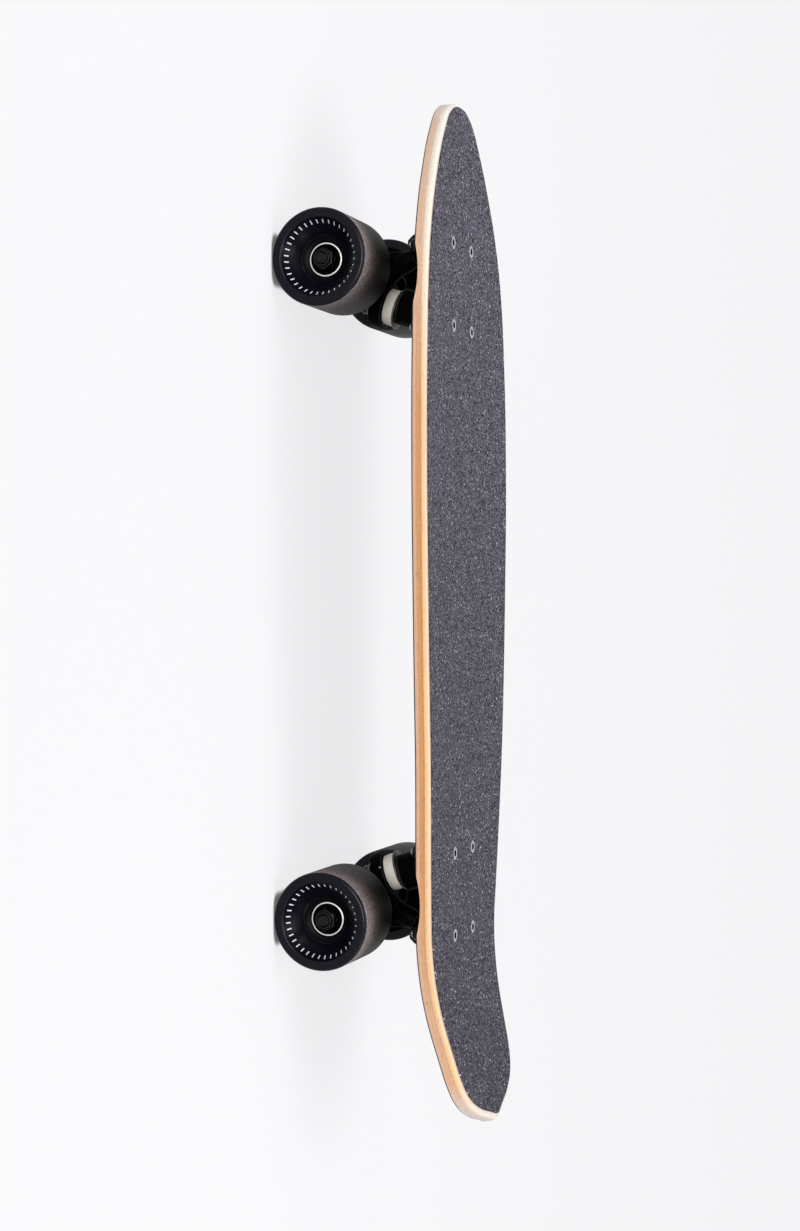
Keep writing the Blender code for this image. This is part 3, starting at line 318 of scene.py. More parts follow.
NOSE_PALES = (0.13, 0.29)
TAIL_PALES = (-0.16, -0.26)
NOSE_TIP_PAINTED_HIGHLIGHT = (0.318, 0.336, 0.0, 0.75)
TAIL_TIP_PAINTED_HIGHLIGHT = (-0.301, -0.331, 0.0, 0.85)

# Grit: its tones, the rarest grains that glint, and how it darkens along X, as painted shade towards the
# tail
GRIT_TONES = ((0.26, (4, 4, 6)), (0.50, (60, 57, 67)), (0.74, (138, 134, 150)))
GRIT_GLINTS = (0.985, 0.992)
GRIT_PAINTED_TAIL_SHADE = (0.20, -0.30, 1.0, 0.72)

# Wheel: its tread's tones from the inboard edge to the outboard, dark inboard as painted shade of the deck
# above and light outboard as painted light, and the ring of marks on its face
TREAD_TONES_AND_PAINTED_SHADE = (
    (0.05, (6, 5, 5)),
    (0.25, (16, 14, 13)),
    (0.45, (46, 41, 38)),
    (0.65, (92, 82, 78)),
    (0.82, (136, 124, 122)),
    (1.00, (168, 155, 156)),
)
MARK_COUNT = 36
MARK_WIDTH = 0.0008
MARK_INNER_RADIUS = 0.0219
MARK_OUTER_RADIUS = 0.0239

# Plain finishes: the sizes of their patches and marks, how dark a patch goes, the marks' detail, depth and
# strength, and how far the roughness swings between two levels of the patches or marks
FINISHES = {
    "paint": {
        "patch": 0.014, "mark": 0.0009, "dark": 0.7, "detail": 2.0, "depth": 0.00002, "strength": 0.6,
        "swing": (0.06, -0.03), "levels": (0.3, 0.7),
    },
    "metal": {
        "patch": 0.006, "mark": 0.0004, "dark": 0.8, "detail": 3.0, "depth": 0.00001, "strength": 0.5,
        "swing": (0.08, -0.06), "levels": (0.25, 0.75),
    },
    "urethane": {
        "patch": 0.010, "mark": 0.0005, "dark": 0.88, "detail": 2.0, "depth": 0.00001, "strength": 0.4,
        "swing": (0.05, -0.05), "levels": (0.3, 0.7),
    },
}

# Each plain look's name, finish, colour and roughness, then its gloss, its own darkness of patches and its
# colour of painted edge highlight, if it has them, and the sharpness of edge at which that painted
# highlight starts and is full
EDGE_HIGHLIGHT_SHARPNESS = (0.525, 0.57)
# painted highlight colour along the castings' sharp edges
CASTING_EDGE_HIGHLIGHT = (0.34, 0.335, 0.34, 1)
CREAM = (0.80695, 0.76052, 0.67244, 1)
PLAIN_LOOKS = {
    "casting": ("black_powder_coat", "paint", (0.0014, 0.0013, 0.0014, 1), 0.46, 0.012, None, CASTING_EDGE_HIGHLIGHT),
    "zinc": ("zinc_steel", "metal", (0.47, 0.445, 0.48, 1), 0.45),
    # painted shade: the bolt's socket is black inside, for the shade in it
    "recess": ("socket_recess", "paint", (0.002, 0.002, 0.002, 1), 0.6, 0.03),
    "black_steel": ("black_oxide", "metal", (0.014, 0.013, 0.013, 1), 0.40),
    "washer": ("dull_washer", "metal", (0.085, 0.073, 0.062, 1), 0.42),
    "race": ("polished_race", "metal", (0.60, 0.59, 0.57, 1), 0.32),
    # painted shade: the inner bearing's race is darkened for the shade it sits in under the deck
    "oiled_race": ("oiled_race", "metal", (0.03, 0.028, 0.026, 1), 0.4),
    "shield": ("bearing_shield", "paint", (0.001, 0.001, 0.001, 1), 0.5, 0.008),
    "nylon": ("nylon_insert", "paint", (0.008, 0.008, 0.009, 1), 0.45),
    "cup": ("pivot_cup_plastic", "paint", (0.01, 0.01, 0.01, 1), 0.5),
    "cream": ("cream_urethane", "urethane", CREAM, 0.42, 0.4, 0.95),
    "black_urethane": ("black_urethane", "urethane", (0.008, 0.008, 0.009, 1), 0.42),
    "core": ("wheel_core", "paint", (0.003, 0.003, 0.004, 1), 0.32, 0.03),
}

# Studio: the floor's and the world's levels, the painted contact shadow round what stands on the floor,
# suns as azimuth, elevation, width and level, and lamps as place, target, size and power
FLOOR_HALF = 6.0
FLOOR_WHITE = 0.955
FLOOR_SHADOW_SHARE = 0.18
FLOOR_BOUNCE = 0.20
FLOOR_TINT = (1.0, 0.996, 1.016, 1)
FLOOR_LIT = (0.92, 0.92, 0.935, 1)
CONTACT_REACH = 0.0065
CONTACT_SHADE = ((0.40, 0.85), (0.62, 0.0))
WORLD_FILL = 0.12
SUNS = {"overhead": (90, 86, 50, 0.46), "front": (84, 10, 30, 0.76)}
LAMPS = {
    "glint": ((0.0155, 0.15, 1.3), (0.0155, 0.0, 0.0), 0.35, 1.6),
    "nose_side": ((0.85, 0.55, 0.9), (0.25, 0.0, 0.09), 0.5, 2.4),
    "tail_side": ((-0.85, 0.55, 0.7), (-0.28, 0.0, 0.1), 0.5, 2.6),
}

# Places that follow from the sizes above
DECK_UNDERSIDE_Z = WHEEL_RADIUS + TRUCK_HEIGHT
BOARD_THICKNESS = WOOD_THICKNESS + GAP + GRIP_THICKNESS
TAIL_X = DECK_MIDDLE_X - DECK_LENGTH / 2
REAR_BOLTS_X = TRUCK_MIDDLE_X - WHEELBASE / 2 - BOLT_SPACING_X / 2
KICK_START_X = REAR_BOLTS_X + KICK_LEAD
CAMBER_DROP = (WHEELBASE / 2) ** 2 / (2 * CAMBER_RADIUS)
TOP_Z = DECK_UNDERSIDE_Z + BOARD_THICKNESS + CAMBER_DROP

UPPER_SEAT_RADIUS = UPPER_BUSHING_RADIUS + GAP
LOWER_SEAT_RADIUS = LOWER_BUSHING_RADIUS + GAP
RING_RADIUS = max(UPPER_SEAT_RADIUS, LOWER_SEAT_RADIUS) + RING_WALL
SOCKET_RADIUS = BALL_RADIUS + BALL_ROOM
CUP_RADIUS = SOCKET_RADIUS + CUP_WALL
PIVOT_BOSS_RADIUS = CUP_RADIUS + GAP + PIVOT_BOSS_WALL
BEARING_SEAT_RADIUS = BEARING_RADIUS + GAP
KINGPIN_HOLE = KINGPIN_RADIUS + GAP
SOCKET_REACH = 1.25 * (BOLT_SOCKET_FLATS / 2)

CUP_TOP = SOCKET_RADIUS + CUP_END_WALL
PIVOT_Z = -(CUP_TOP * math.cos(PIVOT_TILT) + CUP_RADIUS * math.sin(PIVOT_TILT) + PIVOT_COVER)

# Stack on the kingpin, as distances along it from the deck, with the boss's face first
BOSS_FACE = -BOSS_DROP
UPPER_WASHER_TOP = BOSS_FACE - GAP
UPPER_BUSHING_TOP = UPPER_WASHER_TOP - CUP_WASHER_THICKNESS - GAP
UPPER_SEAT = UPPER_BUSHING_TOP - UPPER_BUSHING_HEIGHT - GAP
RING_TOP = UPPER_SEAT + SEAT_DEPTH
LOWER_SEAT = UPPER_SEAT - SEAT_WEB
RING_BOTTOM = LOWER_SEAT - SEAT_DEPTH
LOWER_BUSHING_TOP = LOWER_SEAT - GAP
LOWER_WASHER_TOP = LOWER_BUSHING_TOP - LOWER_BUSHING_HEIGHT - GAP
KINGPIN_NUT_TOP = LOWER_WASHER_TOP - CUP_WASHER_THICKNESS - GAP
KINGPIN_BOTTOM = KINGPIN_NUT_TOP - KINGPIN_NUT_HEIGHT - KINGPIN_END
KINGPIN_TOP = -(2 * GAP + KINGPIN_HEAD_RADIUS * math.sin(KINGPIN_TILT)) / math.cos(KINGPIN_TILT)

# Stack on the axle, as distances from the truck's middle
INNER_BEARING_Y = HANGER_HALF_WIDTH + SPEED_WASHER_THICKNESS + 2 * GAP
WHEEL_Y = INNER_BEARING_Y + BEARING_WIDTH + BEARING_SPACING / 2
WHEEL_INNER_Y = WHEEL_Y - WHEEL_WIDTH / 2
ARM_Y = WHEEL_INNER_Y - ARM_TO_WHEEL
AXLE_NUT_Y = WHEEL_Y + BEARING_SPACING / 2 + BEARING_WIDTH + GAP
AXLE_HALF_LENGTH = AXLE_NUT_Y + AXLE_NUT_FACE + AXLE_NUT_HEIGHT + AXLE_END

KINGPIN_FRAME = Matrix.Translation((KINGPIN_X, 0, 0)) @ Matrix.Rotation(-KINGPIN_TILT, 4, "Y")
PIVOT_FRAME = Matrix.Translation((PIVOT_X, 0, PIVOT_Z)) @ Matrix.Rotation(PIVOT_TILT, 4, "Y")
AXLE_FRAME = Matrix.Translation((AXLE_X, 0, -TRUCK_HEIGHT)) @ Matrix.Rotation(-math.pi / 2, 4, "X")
SIDEWAYS = Matrix.Rotation(math.pi / 2, 4, "X")


# Shader nodes


def screen(red, green, blue):
    """A colour given as it shows on a screen, from 0 to 255, as linear light."""
    shares = [value / 255 for value in (red, green, blue)]
    return (*[s / 12.92 if s < 0.04 else ((s + 0.055) / 1.055) ** 2.4 for s in shares], 1)


def tones(stops):
    """Stops for a ramp, from places and screen colours."""
    return [(place, screen(*colour)) for place, colour in stops]


def fill(tree, socket, value):
    if isinstance(value, bpy.types.NodeSocket):
        tree.links.new(value, socket)
    else:
        socket.default_value = value


def node(tree, kind, inputs=None, output=0, **settings):
    """Adds a node, fills its inputs with values or other nodes' outputs, and gives one of its outputs."""
    made = tree.nodes.new("ShaderNode" + kind)
    for name, value in settings.items():
        setattr(made, name, value)
    for key, value in (inputs or {}).items():
        fill(tree, made.inputs[key], value)
    return made.outputs[output]


def new_look(name, **sockets):
    """A Principled material and its tree. Its socket names are given with _ in place of spaces."""
    look = bpy.data.materials.new(name)
    look.use_nodes = True
    return set_sockets(look, **sockets), look.node_tree


def set_sockets(look, **sockets):
    shader = look.node_tree.nodes["Principled BSDF"]
    for name, value in sockets.items():
        fill(look.node_tree, shader.inputs[name.replace("_", " ")], value)
    return look


def place_of(tree, stretch=(1, 1, 1)):
    """The piece's own coordinates, pulled out along an axis whose stretch is over 1."""
    own = node(tree, "TexCoord", output="Object")
    return node(tree, "Mapping", {"Vector": own, "Scale": [1 / s for s in stretch]})


def axes(tree):
    """The piece's own coordinates, as outputs named X, Y and Z."""
    return node(tree, "SeparateXYZ", {0: node(tree, "TexCoord", output="Object")}).node.outputs


def noise(tree, size, detail=2.0, stretch=(1, 1, 1), roughness=0.5):
    """Noise from 0 to 1 whose lumps are about size metres across."""
    inputs = {"Scale": 1 / size, "Detail": detail, "Roughness": roughness}
    return node(tree, "TexNoise", {"Vector": place_of(tree, stretch), **inputs})


def cells(tree, size, output="Distance"):
    return node(tree, "TexVoronoi", {"Vector": place_of(tree), "Scale": 1 / size}, output)


def ramp(tree, factor, stops):
    """Colours or grey values at places from 0 to 1."""
    made = tree.nodes.new("ShaderNodeValToRGB")
    fill(tree, made.inputs[0], factor)
    elements = made.color_ramp.elements
    while len(elements) < len(stops):
        elements.new(0.5)
    for element, (place, colour) in zip(elements, stops):
        element.position = place
        element.color = colour if isinstance(colour, tuple) else (colour, colour, colour, 1)
    return made.outputs[0]


def between(tree, factor, low, high, places=(0.3, 0.7)):
    """Goes from one colour or grey value to another as a factor passes two places."""
    return ramp(tree, factor, list(zip(places, (low, high))))


def span(tree, value, start, end, low=0.0, high=1.0):
    """Goes from low to high as a value passes from start to end."""
    return node(tree, "MapRange", {0: value, 1: start, 2: end, 3: low, 4: high})


def mix(tree, factor, first, second, blend="MIX"):
    made = tree.nodes.new("ShaderNodeMix")
    made.data_type = "RGBA"
    made.blend_type = blend
    for number, value in ((0, factor), (6, first), (7, second)):
        fill(tree, made.inputs[number], value)
    return made.outputs[2]


def maths(tree, operation, first, second=0.0):
    return node(tree, "Math", {0: first, 1: second}, operation=operation)


def plus(tree, *values):
    return reduce(lambda first, second: maths(tree, "ADD", first, second), values)


def times(tree, *values):
    return reduce(lambda first, second: maths(tree, "MULTIPLY", first, second), values)


def waver(tree, reach, *noise_settings):
    """Noise that swings by half of reach to both sides of 0."""
    return times(tree, maths(tree, "SUBTRACT", noise(tree, *noise_settings), 0.5), reach)


def bump(tree, height, depth, strength):
    """A normal from a height of 0 to 1 that stands for depth in metres."""
    return node(tree, "Bump", {"Height": height, "Distance": depth, "Strength": strength})


# Materials


def wood_look():
    """Seven plies, read from each point's depth in the deck, with long grain and cross grain by turns.

    Near each end and at the tips they pale, as a painted highlight of the light there.
    """
    look, tree = new_look("maple_ply_wood", Specular_IOR_Level=0.35, Coat_Weight=0.2, Coat_Roughness=0.3)
    depth = node(tree, "Attribute", output="Fac", attribute_name=PLY_ATTRIBUTE)
    ripple = waver(tree, 0.03, 0.0035, 2.0, (1.5, 1, 1))
    place = plus(tree, depth, plus(tree, waver(tree, 0.06, 0.045, 2.0, (3, 1, 1)), ripple))
    x = axes(tree)["X"]
    # painted highlight: the plies pale near the nose and the tail, and almost to white at the tips
    nose_painted_highlight = times(tree, span(tree, x, *NOSE_PALES), ramp(tree, place, NOSE_PAINTED_HIGHLIGHT))
    tail_painted_highlight = times(tree, span(tree, x, *TAIL_PALES), ramp(tree, place, TAIL_PAINTED_HIGHLIGHT))
    painted_end_highlight = plus(tree, nose_painted_highlight, tail_painted_highlight)
    plies = mix(tree, painted_end_highlight, ramp(tree, place, tones(PLY_COLOURS)), screen(252, 246, 238))
    painted_tip_highlight = plus(tree, span(tree, x, *NOSE_TIP_PAINTED_HIGHLIGHT), span(tree, x, *TAIL_TIP_PAINTED_HIGHLIGHT))
    plies = mix(tree, painted_tip_highlight, plies, screen(251, 243, 238))
    long_grain = noise(tree, 0.0007, 3.0, (22, 1, 1), 0.6)
    cross_grain = noise(tree, 0.0009, 3.0, (1, 22, 1), 0.7)
    crossed = plus(tree, *[ramp(tree, place, list(zip(edges, (0, 1, 1, 0)))) for edges in CROSS_PLIES])
    long_tone = ramp(tree, long_grain, [(0.30, 0.80), (0.50, 0.97), (0.75, 1.0)])
    cross_tone = ramp(tree, cross_grain, [(0.36, 0.70), (0.50, 0.96), (0.70, 1.0)])
    toned = mix(tree, 1.0, plies, mix(tree, crossed, long_tone, cross_tone), "MULTIPLY")
    freckles = between(tree, noise(tree, 0.0016, 3.0, (2, 1, 1), 0.7), 0.70, 1.0, (0.30, 0.40))
    away_from_nose = maths(tree, "SUBTRACT", 1.0, span(tree, x, *NOSE_PALES))
    toned = mix(tree, times(tree, away_from_nose, 0.8), toned, freckles, "MULTIPLY")
    patches = between(tree, noise(tree, 0.030, 2.0, (5, 1, 1)), 0.90, 1.0)
    toned = mix(tree, 0.6, toned, patches, "MULTIPLY")
    stained = between(tree, depth, 0, 1, (STAIN_EDGE, STAIN_EDGE + STAIN_FADE))
    return set_sockets(
        look,
        Base_Color=mix(tree, stained, toned, screen(44, 36, 36)),
        Roughness=between(tree, long_grain, 0.55, 0.42),
        Normal=bump(tree, mix(tree, crossed, long_grain, cross_grain), 0.00004, 0.5),
    )


def stain_look():
    """The underside's dark stained veneer, whose grain still shows."""
    look, tree = new_look("stained_veneer", Specular_IOR_Level=0.5, Coat_Weight=0.35, Coat_Roughness=0.22)
    grain = noise(tree, 0.0007, 4.0, (40, 1, 1), 0.6)
    streaks = between(tree, grain, screen(38, 32, 34), screen(66, 57, 60), (0.30, 0.62))
    broad = between(tree, noise(tree, 0.012, 2.0, (14, 1, 1)), 0.80, 1.0)
    return set_sockets(
        look,
        Base_Color=mix(tree, 0.8, streaks, broad, "MULTIPLY"),
        Roughness=between(tree, grain, 0.5, 0.38),
        Normal=bump(tree, grain, 0.00005, 0.5),
    )


def grit_look():
    """Coarse black grit: dark binder, grey grains and a few that glint. It darkens towards the tail as
    painted shade.
    """
    look, tree = new_look("black_grit", Specular_IOR_Level=0.25)
    tint = node(tree, "SeparateColor", {0: cells(tree, GRIT_SIZE, "Color")})
    grains = plus(tree, times(tree, tint, 0.6), times(tree, noise(tree, 0.0007, roughness=0.7), 0.4))
    # painted shade: the grit darkens towards the tail, for less light there
    applied = span(tree, axes(tree)["X"], *GRIT_PAINTED_TAIL_SHADE)
    cloud = times(tree, between(tree, noise(tree, 0.020), 0.90, 1.0), applied)
    body = mix(tree, 1.0, ramp(tree, grains, tones(GRIT_TONES)), cloud, "MULTIPLY")
    glint = between(tree, tint, 0, 1, GRIT_GLINTS)
    return set_sockets(
        look,
        Base_Color=mix(tree, glint, body, screen(226, 224, 234)),
        Roughness=between(tree, glint, 0.9, 0.35, (0.0, 1.0)),
        Normal=bump(tree, cells(tree, GRIT_SIZE), 0.0002, 0.6),
    )


def plain_look(name, kind, colour, roughness, gloss=0.2, dark=None, edge_highlight=None):
    """A finish in patches and fine marks, which may have a painted highlight, a lighter colour, along its
    sharp edges.
    """
    finish = FINISHES[kind]
    base = {"Metallic": 1.0} if kind == "metal" else {"Specular_IOR_Level": gloss}
    look, tree = new_look(name, **base)
    patches = noise(tree, finish["patch"])
    marks = noise(tree, finish["mark"], finish["detail"])
    darker = (*[(dark or finish["dark"]) * c for c in colour[:3]], 1)
    body = between(tree, patches, darker, colour)
    if edge_highlight:
        # painted highlight: lighter colour along sharp edges, for the light that they catch
        sharp = node(tree, "NewGeometry", output="Pointiness")
        body = mix(tree, between(tree, sharp, 0, 1, EDGE_HIGHLIGHT_SHARPNESS), body, edge_highlight)
    rough, smooth = [roughness + swing for swing in finish["swing"]]
    return set_sockets(
        look,
        Base_Color=body,
        Roughness=between(tree, patches if kind == "paint" else marks, rough, smooth, finish["levels"]),
        Normal=bump(tree, marks, finish["depth"], finish["strength"]),
    )


def tread_look():
    """The ground, matte surface that rolls on the floor, darker inboard as painted shade and lighter
    outboard as painted light.
    """
    look, tree = new_look("wheel_tread", Specular_IOR_Level=0.2)
    outboard = plus(tree, maths(tree, "DIVIDE", axes(tree)["Z"], WHEEL_WIDTH), 0.5)
    # painted shade and light: the tread darkens inboard, under the deck, and lightens towards the outboard
    # lip
    colour = ramp(tree, plus(tree, outboard, waver(tree, 0.2, 0.006, 3.0)), tones(TREAD_TONES_AND_PAINTED_SHADE))
    speckle = between(tree, noise(tree, 0.0013, 3.0, roughness=0.8), 0.25, 1.0, (0.38, 0.62))
    fine = noise(tree, 0.0005, 3.0)
    return set_sockets(
        look,
        Base_Color=mix(tree, 1.0, colour, speckle, "MULTIPLY"),
        Roughness=between(tree, fine, 0.68, 0.54),
        Normal=bump(tree, fine, 0.00006, 0.7),
    )


def dish_look():
    """Glossy black urethane with a plain printed ring of short marks."""
    look, tree = new_look("wheel_gloss", Specular_IOR_Level=0.13)
    own = axes(tree)
    x, y = own["X"], own["Y"]
    radius = maths(tree, "SQRT", plus(tree, times(tree, x, x), times(tree, y, y)))
    turn = times(tree, maths(tree, "ARCTAN2", y, x), MARK_COUNT / (2 * math.pi))
    across = maths(tree, "ABSOLUTE", maths(tree, "SUBTRACT", maths(tree, "FRACT", turn), 0.5))
    width = maths(tree, "DIVIDE", MARK_WIDTH * MARK_COUNT / (4 * math.pi), radius)
    mark = times(
        tree,
        maths(tree, "LESS_THAN", across, width),
        maths(tree, "GREATER_THAN", radius, MARK_INNER_RADIUS),
        maths(tree, "LESS_THAN", radius, MARK_OUTER_RADIUS),
        maths(tree, "GREATER_THAN", own["Z"], 0.0),
    )
    base = between(tree, noise(tree, 0.010), screen(9, 9, 17), screen(13, 13, 24))
    return set_sockets(
        look,
        Base_Color=mix(tree, mark, base, screen(226, 228, 232)),
        Roughness=between(tree, noise(tree, 0.003), 0.24, 0.17),
    )


def make_looks():
    looks = {key: plain_look(*settings) for key, settings in PLAIN_LOOKS.items()}
    looks |= {"wood": wood_look(), "stain": stain_look(), "grit": grit_look()}
    return looks | {"tread": tread_look(), "dish": dish_look()}


# Objects and meshes


def add_object(name, data):
    obj = bpy.data.objects.new(name, data)
    bpy.context.scene.collection.objects.link(obj)
    return obj


def evaluated_mesh(obj):
    """The mesh that an object's modifiers or its curve make."""
    bpy.context.view_layer.update()
    graph = bpy.context.evaluated_depsgraph_get()
    return bpy.data.meshes.new_from_object(obj.evaluated_get(graph))


def bake(obj):
    """Replaces an object's mesh by the mesh that its modifiers make."""
    mesh = evaluated_mesh(obj)
    obj.modifiers.clear()
    obj.data = mesh
    return obj


def at(place, obj):
    obj.matrix_world = place
    return obj


def shift(x, y, z):
    return Matrix.Translation((x, y, z))


def mesh_of(obj):
    """A scratch object's mesh, in the frame that the object stood in."""
    bpy.context.view_layer.update()
    mesh = obj.data
    mesh.transform(obj.matrix_world)
    bpy.data.objects.remove(obj)
    return mesh


def shaded(mesh):
    mesh.shade_smooth()
    mesh.set_sharp_from_angle(angle=SMOOTH_ANGLE)
    return mesh


def mesh_from(name, bm):
    mesh = bpy.data.meshes.new(name)
    bm.to_mesh(mesh)
    bm.free()
    return mesh


def solid(name, bm):
    return add_object(name, mesh_from(name, bm))


def pick_looks(mesh, rule):
    """Gives each face the look whose number a rule works out from its distance from Z and its height."""
    for face in mesh.polygons:
        face.material_index = int(rule(math.hypot(face.center.x, face.center.y), face.center.z))
    return mesh


def take_place(name):
    """Hides a CAD node, so that a finished object can stand for it."""
    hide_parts(name)


def stand_in(name, mesh, place, *looks):
    """Puts a mesh in the place of a CAD node: it rides on the node's body and takes the looks given."""
    obj = at(place, add_object(name + "_fine", mesh))
    if not mesh.materials:
        for look in looks:
            mesh.materials.append(look)
    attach(obj, BODY_OF[name])
    take_place(name)


def modify(obj, kind, **settings):
    modifier = obj.modifiers.new(kind.title(), kind)
    for name, value in settings.items():
        setattr(modifier, name, value)
    return obj


def combine(obj, others, operation):
    """Booleans obj with each of the others, in the places where they stand, and removes those."""
    for other in others:
        modify(obj, "BOOLEAN", operation=operation, solver="EXACT", object=other)
    bake(obj)
    for other in others:
        bpy.data.objects.remove(other)
    return obj


def cut(obj, *cutters):
    return combine(obj, cutters, "DIFFERENCE")


def join(obj, *others):
    return combine(obj, others, "UNION")


def bevel(obj, width, segments=3, degrees=60):
    """Rounds the edges that turn by more than an angle."""
    limit = {"limit_method": "ANGLE", "angle_limit": math.radians(degrees)}
    return bake(modify(obj, "BEVEL", width=width, segments=segments, **limit))


def cast(obj):
    """Melts the joins of a casting's shapes into small fillets, and eases its edges."""
    modify(obj, "REMESH", mode="VOXEL", voxel_size=CASTING_CELL)
    return bake(modify(obj, "SMOOTH", factor=0.5, iterations=CASTING_SMOOTHING))


# Shapes round Z


def loop(sides, radius, height):
    """Points round Z. The radius and the height are numbers, or functions of the angle."""
    points = []
    for i in range(sides):
        angle = 2 * math.pi * i / sides
        r = radius(angle) if callable(radius) else radius
        z = height(angle) if callable(height) else height
        points.append((r * math.cos(angle), r * math.sin(angle), z))
    return points


def rings(profile, sides=ROUND_SIDES):
    """A loop for each (radius, height) of a profile."""
    return [loop(sides, radius, height) for radius, height in profile]


def skin(name, loops, ring=False):
    """A mesh over a row of equal loops. Its ends are capped, or joined to each other in a ring."""
    bm = bmesh.new()
    rows = [[bm.verts.new(point) for point in points] for points in loops]
    pairs = list(zip(rows, rows[1:]))
    if ring:
        pairs.append((rows[-1], rows[0]))
    else:
        bm.faces.new(rows[0])
        bm.faces.new(rows[-1])
    for near, far in pairs:
        for i in range(len(near)):
            bm.faces.new((near[i - 1], near[i], far[i], far[i - 1]))
    bmesh.ops.remove_doubles(bm, verts=bm.verts, dist=SAME_POINT)
    bmesh.ops.recalc_face_normals(bm, faces=bm.faces)
    return shaded(mesh_from(name, bm))


def turned(name, profile, sides=ROUND_SIDES, ring=False):
    return skin(name, rings(profile, sides), ring)


def turned_object(name, place, profile, sides=ROUND_SIDES):
    return at(place, add_object(name, turned(name, profile, sides)))


def cylinder(place, radius, low, high, sides=ROUND_SIDES):
    return turned_object("cylinder", place, [(radius, high), (radius, low)], sides)


def mirrored(points):
    """A profile's points turned over to the other side of z = 0, in the opposite order."""
    return [(point[0], -point[1], *point[2:]) for point in reversed(points)]


def quarter(radius):
    """A profile from the equator of a ball up to its pole."""
    angles = [math.radians(degrees) for degrees in range(0, 91, 10)]
    return [(radius * math.cos(a), radius * math.sin(a)) for a in angles]


def rounded(corners, steps=4):
    """Turns (radius, height, fillet) corners into a profile's points, with each fillet as an arc."""
    line = []
    for i, (radius, height, fillet) in enumerate(corners):
        here = Vector((radius, height))
        if not fillet:
            line.append((radius, height))
            continue
        before = (Vector(corners[i - 1][:2]) - here).normalized()
        after = (Vector(corners[(i + 1) % len(corners)][:2]) - here).normalized()
        half = before.angle(after) / 2
        middle = here + (before + after).normalized() * fillet / math.sin(half)
        first = here + before * fillet / math.tan(half) - middle
        last = here + after * fillet / math.tan(half) - middle
        arms = [first.lerp(last, k / steps).normalized() * fillet for k in range(steps + 1)]
        line += [tuple(middle + arm) for arm in arms]
    return line


def disc(name, inner, outer, low, high, edge):
    corners = [(outer, high, edge), (outer, low, edge), (inner, low, 0), (inner, high, 0)]
    return turned(name, rounded(corners), ring=True)


def hexagon(flats):
    """The radius of a hexagon at an angle, with a corner at 0."""
    third = math.pi / 3
    return lambda angle: flats / 2 / math.cos(angle % third - third / 2)


def nut(name, flats, low, high, bore, collar_top=None, collar_radius=0, face_radius=None, face_low=None):
    """A chamfered hexagon from low to high, with a round collar past high or a washer face before low.

    A nut that hangs down has its high end under its low end.
    """
    outside = hexagon(flats)
    flat_circle = flats / 2 * NUT_CIRCLE
    slope = math.copysign(math.tan(NUT_CHAMFER), high - low)
    ease = NUT_EASE

    def drop(angle):
        return (outside(angle) - flat_circle) * slope

    profile = [
        (flat_circle, low),
        (outside, lambda angle: low + drop(angle)),
        (outside, lambda angle: high - drop(angle)),
        (flat_circle, high),
    ]
    if face_radius:
        profile = [(face_radius, face_low), (face_radius, low)] + profile
    top = high
    if collar_top:
        top = collar_top - math.copysign(ease, collar_top - high)
        middle = (collar_radius + bore) / 2
        corners = [
            (collar_radius, high, 0),
            (collar_radius, collar_top, 2.5 * ease),
            (middle, collar_top, 0),
            (middle, top, 0),
        ]
        profile += rounded(corners + [(bore + ease, top, 0)])
    else:
        profile.append((bore + ease, top))
    bottom = face_low if face_radius else low
    rise = math.copysign(ease, top - bottom)
    profile += [(bore, top - rise), (bore, bottom + rise), (bore + ease, bottom)]
    return skin(name, rings(profile), ring=True)


def thread(radius, pitch, start, end, chamfer):
    """Loops of a screw thread along Z from start to end, where it runs out in a chamfer."""
    steps = max(2, round(abs(end - start) / pitch * THREAD_STEPS))
    loops = []
    for i in range(steps + 1):
        z = start + (end - start) * i / steps
        limit = radius - max(0, chamfer - abs(end - z))

        def ridge(angle, z=z, limit=limit):
            phase = (z / pitch - angle / (2 * math.pi)) % 1
            return min(limit, radius - THREAD_DEPTH * pitch * abs(2 * phase - 1))

        loops.append(loop(ROUND_SIDES, ridge, z))
    return loops


# Deck and griptape


def deck_top(x, y):
    """Height of the standing surface, and its slopes along X and Y, above a point of the floor plan."""
    ahead = x - TRUCK_MIDDLE_X
    height = TOP_Z - ahead**2 / (2 * CAMBER_RADIUS)
    slope = -ahead / CAMBER_RADIUS
    behind = KICK_START_X - x
    if behind > 0:
        start = KICK_START_X - TRUCK_MIDDLE_X
        height = TOP_Z - start**2 / (2 * CAMBER_RADIUS)
        arc = min(behind, KICK_RADIUS * math.sin(KICK_ANGLE))
        height += KICK_RADIUS - math.sqrt(KICK_RADIUS**2 - arc**2)
        height += (behind - arc) * math.tan(KICK_ANGLE)
        slope = -arc / math.sqrt(KICK_RADIUS**2 - arc**2)
    fade = (x - KICK_START_X + CONCAVE_FADE_BEHIND) / (CONCAVE_FADE_AHEAD + CONCAVE_FADE_BEHIND)
    fade = min(max(fade, 0), 1)
    concave = fade * fade * (3 - 2 * fade) / (2 * CONCAVE_RADIUS)
    return height + concave * y * y, slope, 2 * concave * y


def weld_caps(mesh):
    """Closes the mesh of a filled flat curve, whose caps come loose from its sides."""
    bm = bmesh.new()
    bm.from_mesh(mesh)
    bmesh.ops.remove_doubles(bm, verts=bm.verts, dist=CAP_WELD)
    bmesh.ops.dissolve_limit(bm, angle_limit=FLAT_ANGLE, verts=bm.verts, edges=bm.edges)
    bmesh.ops.recalc_face_normals(bm, faces=bm.faces)
    return bm


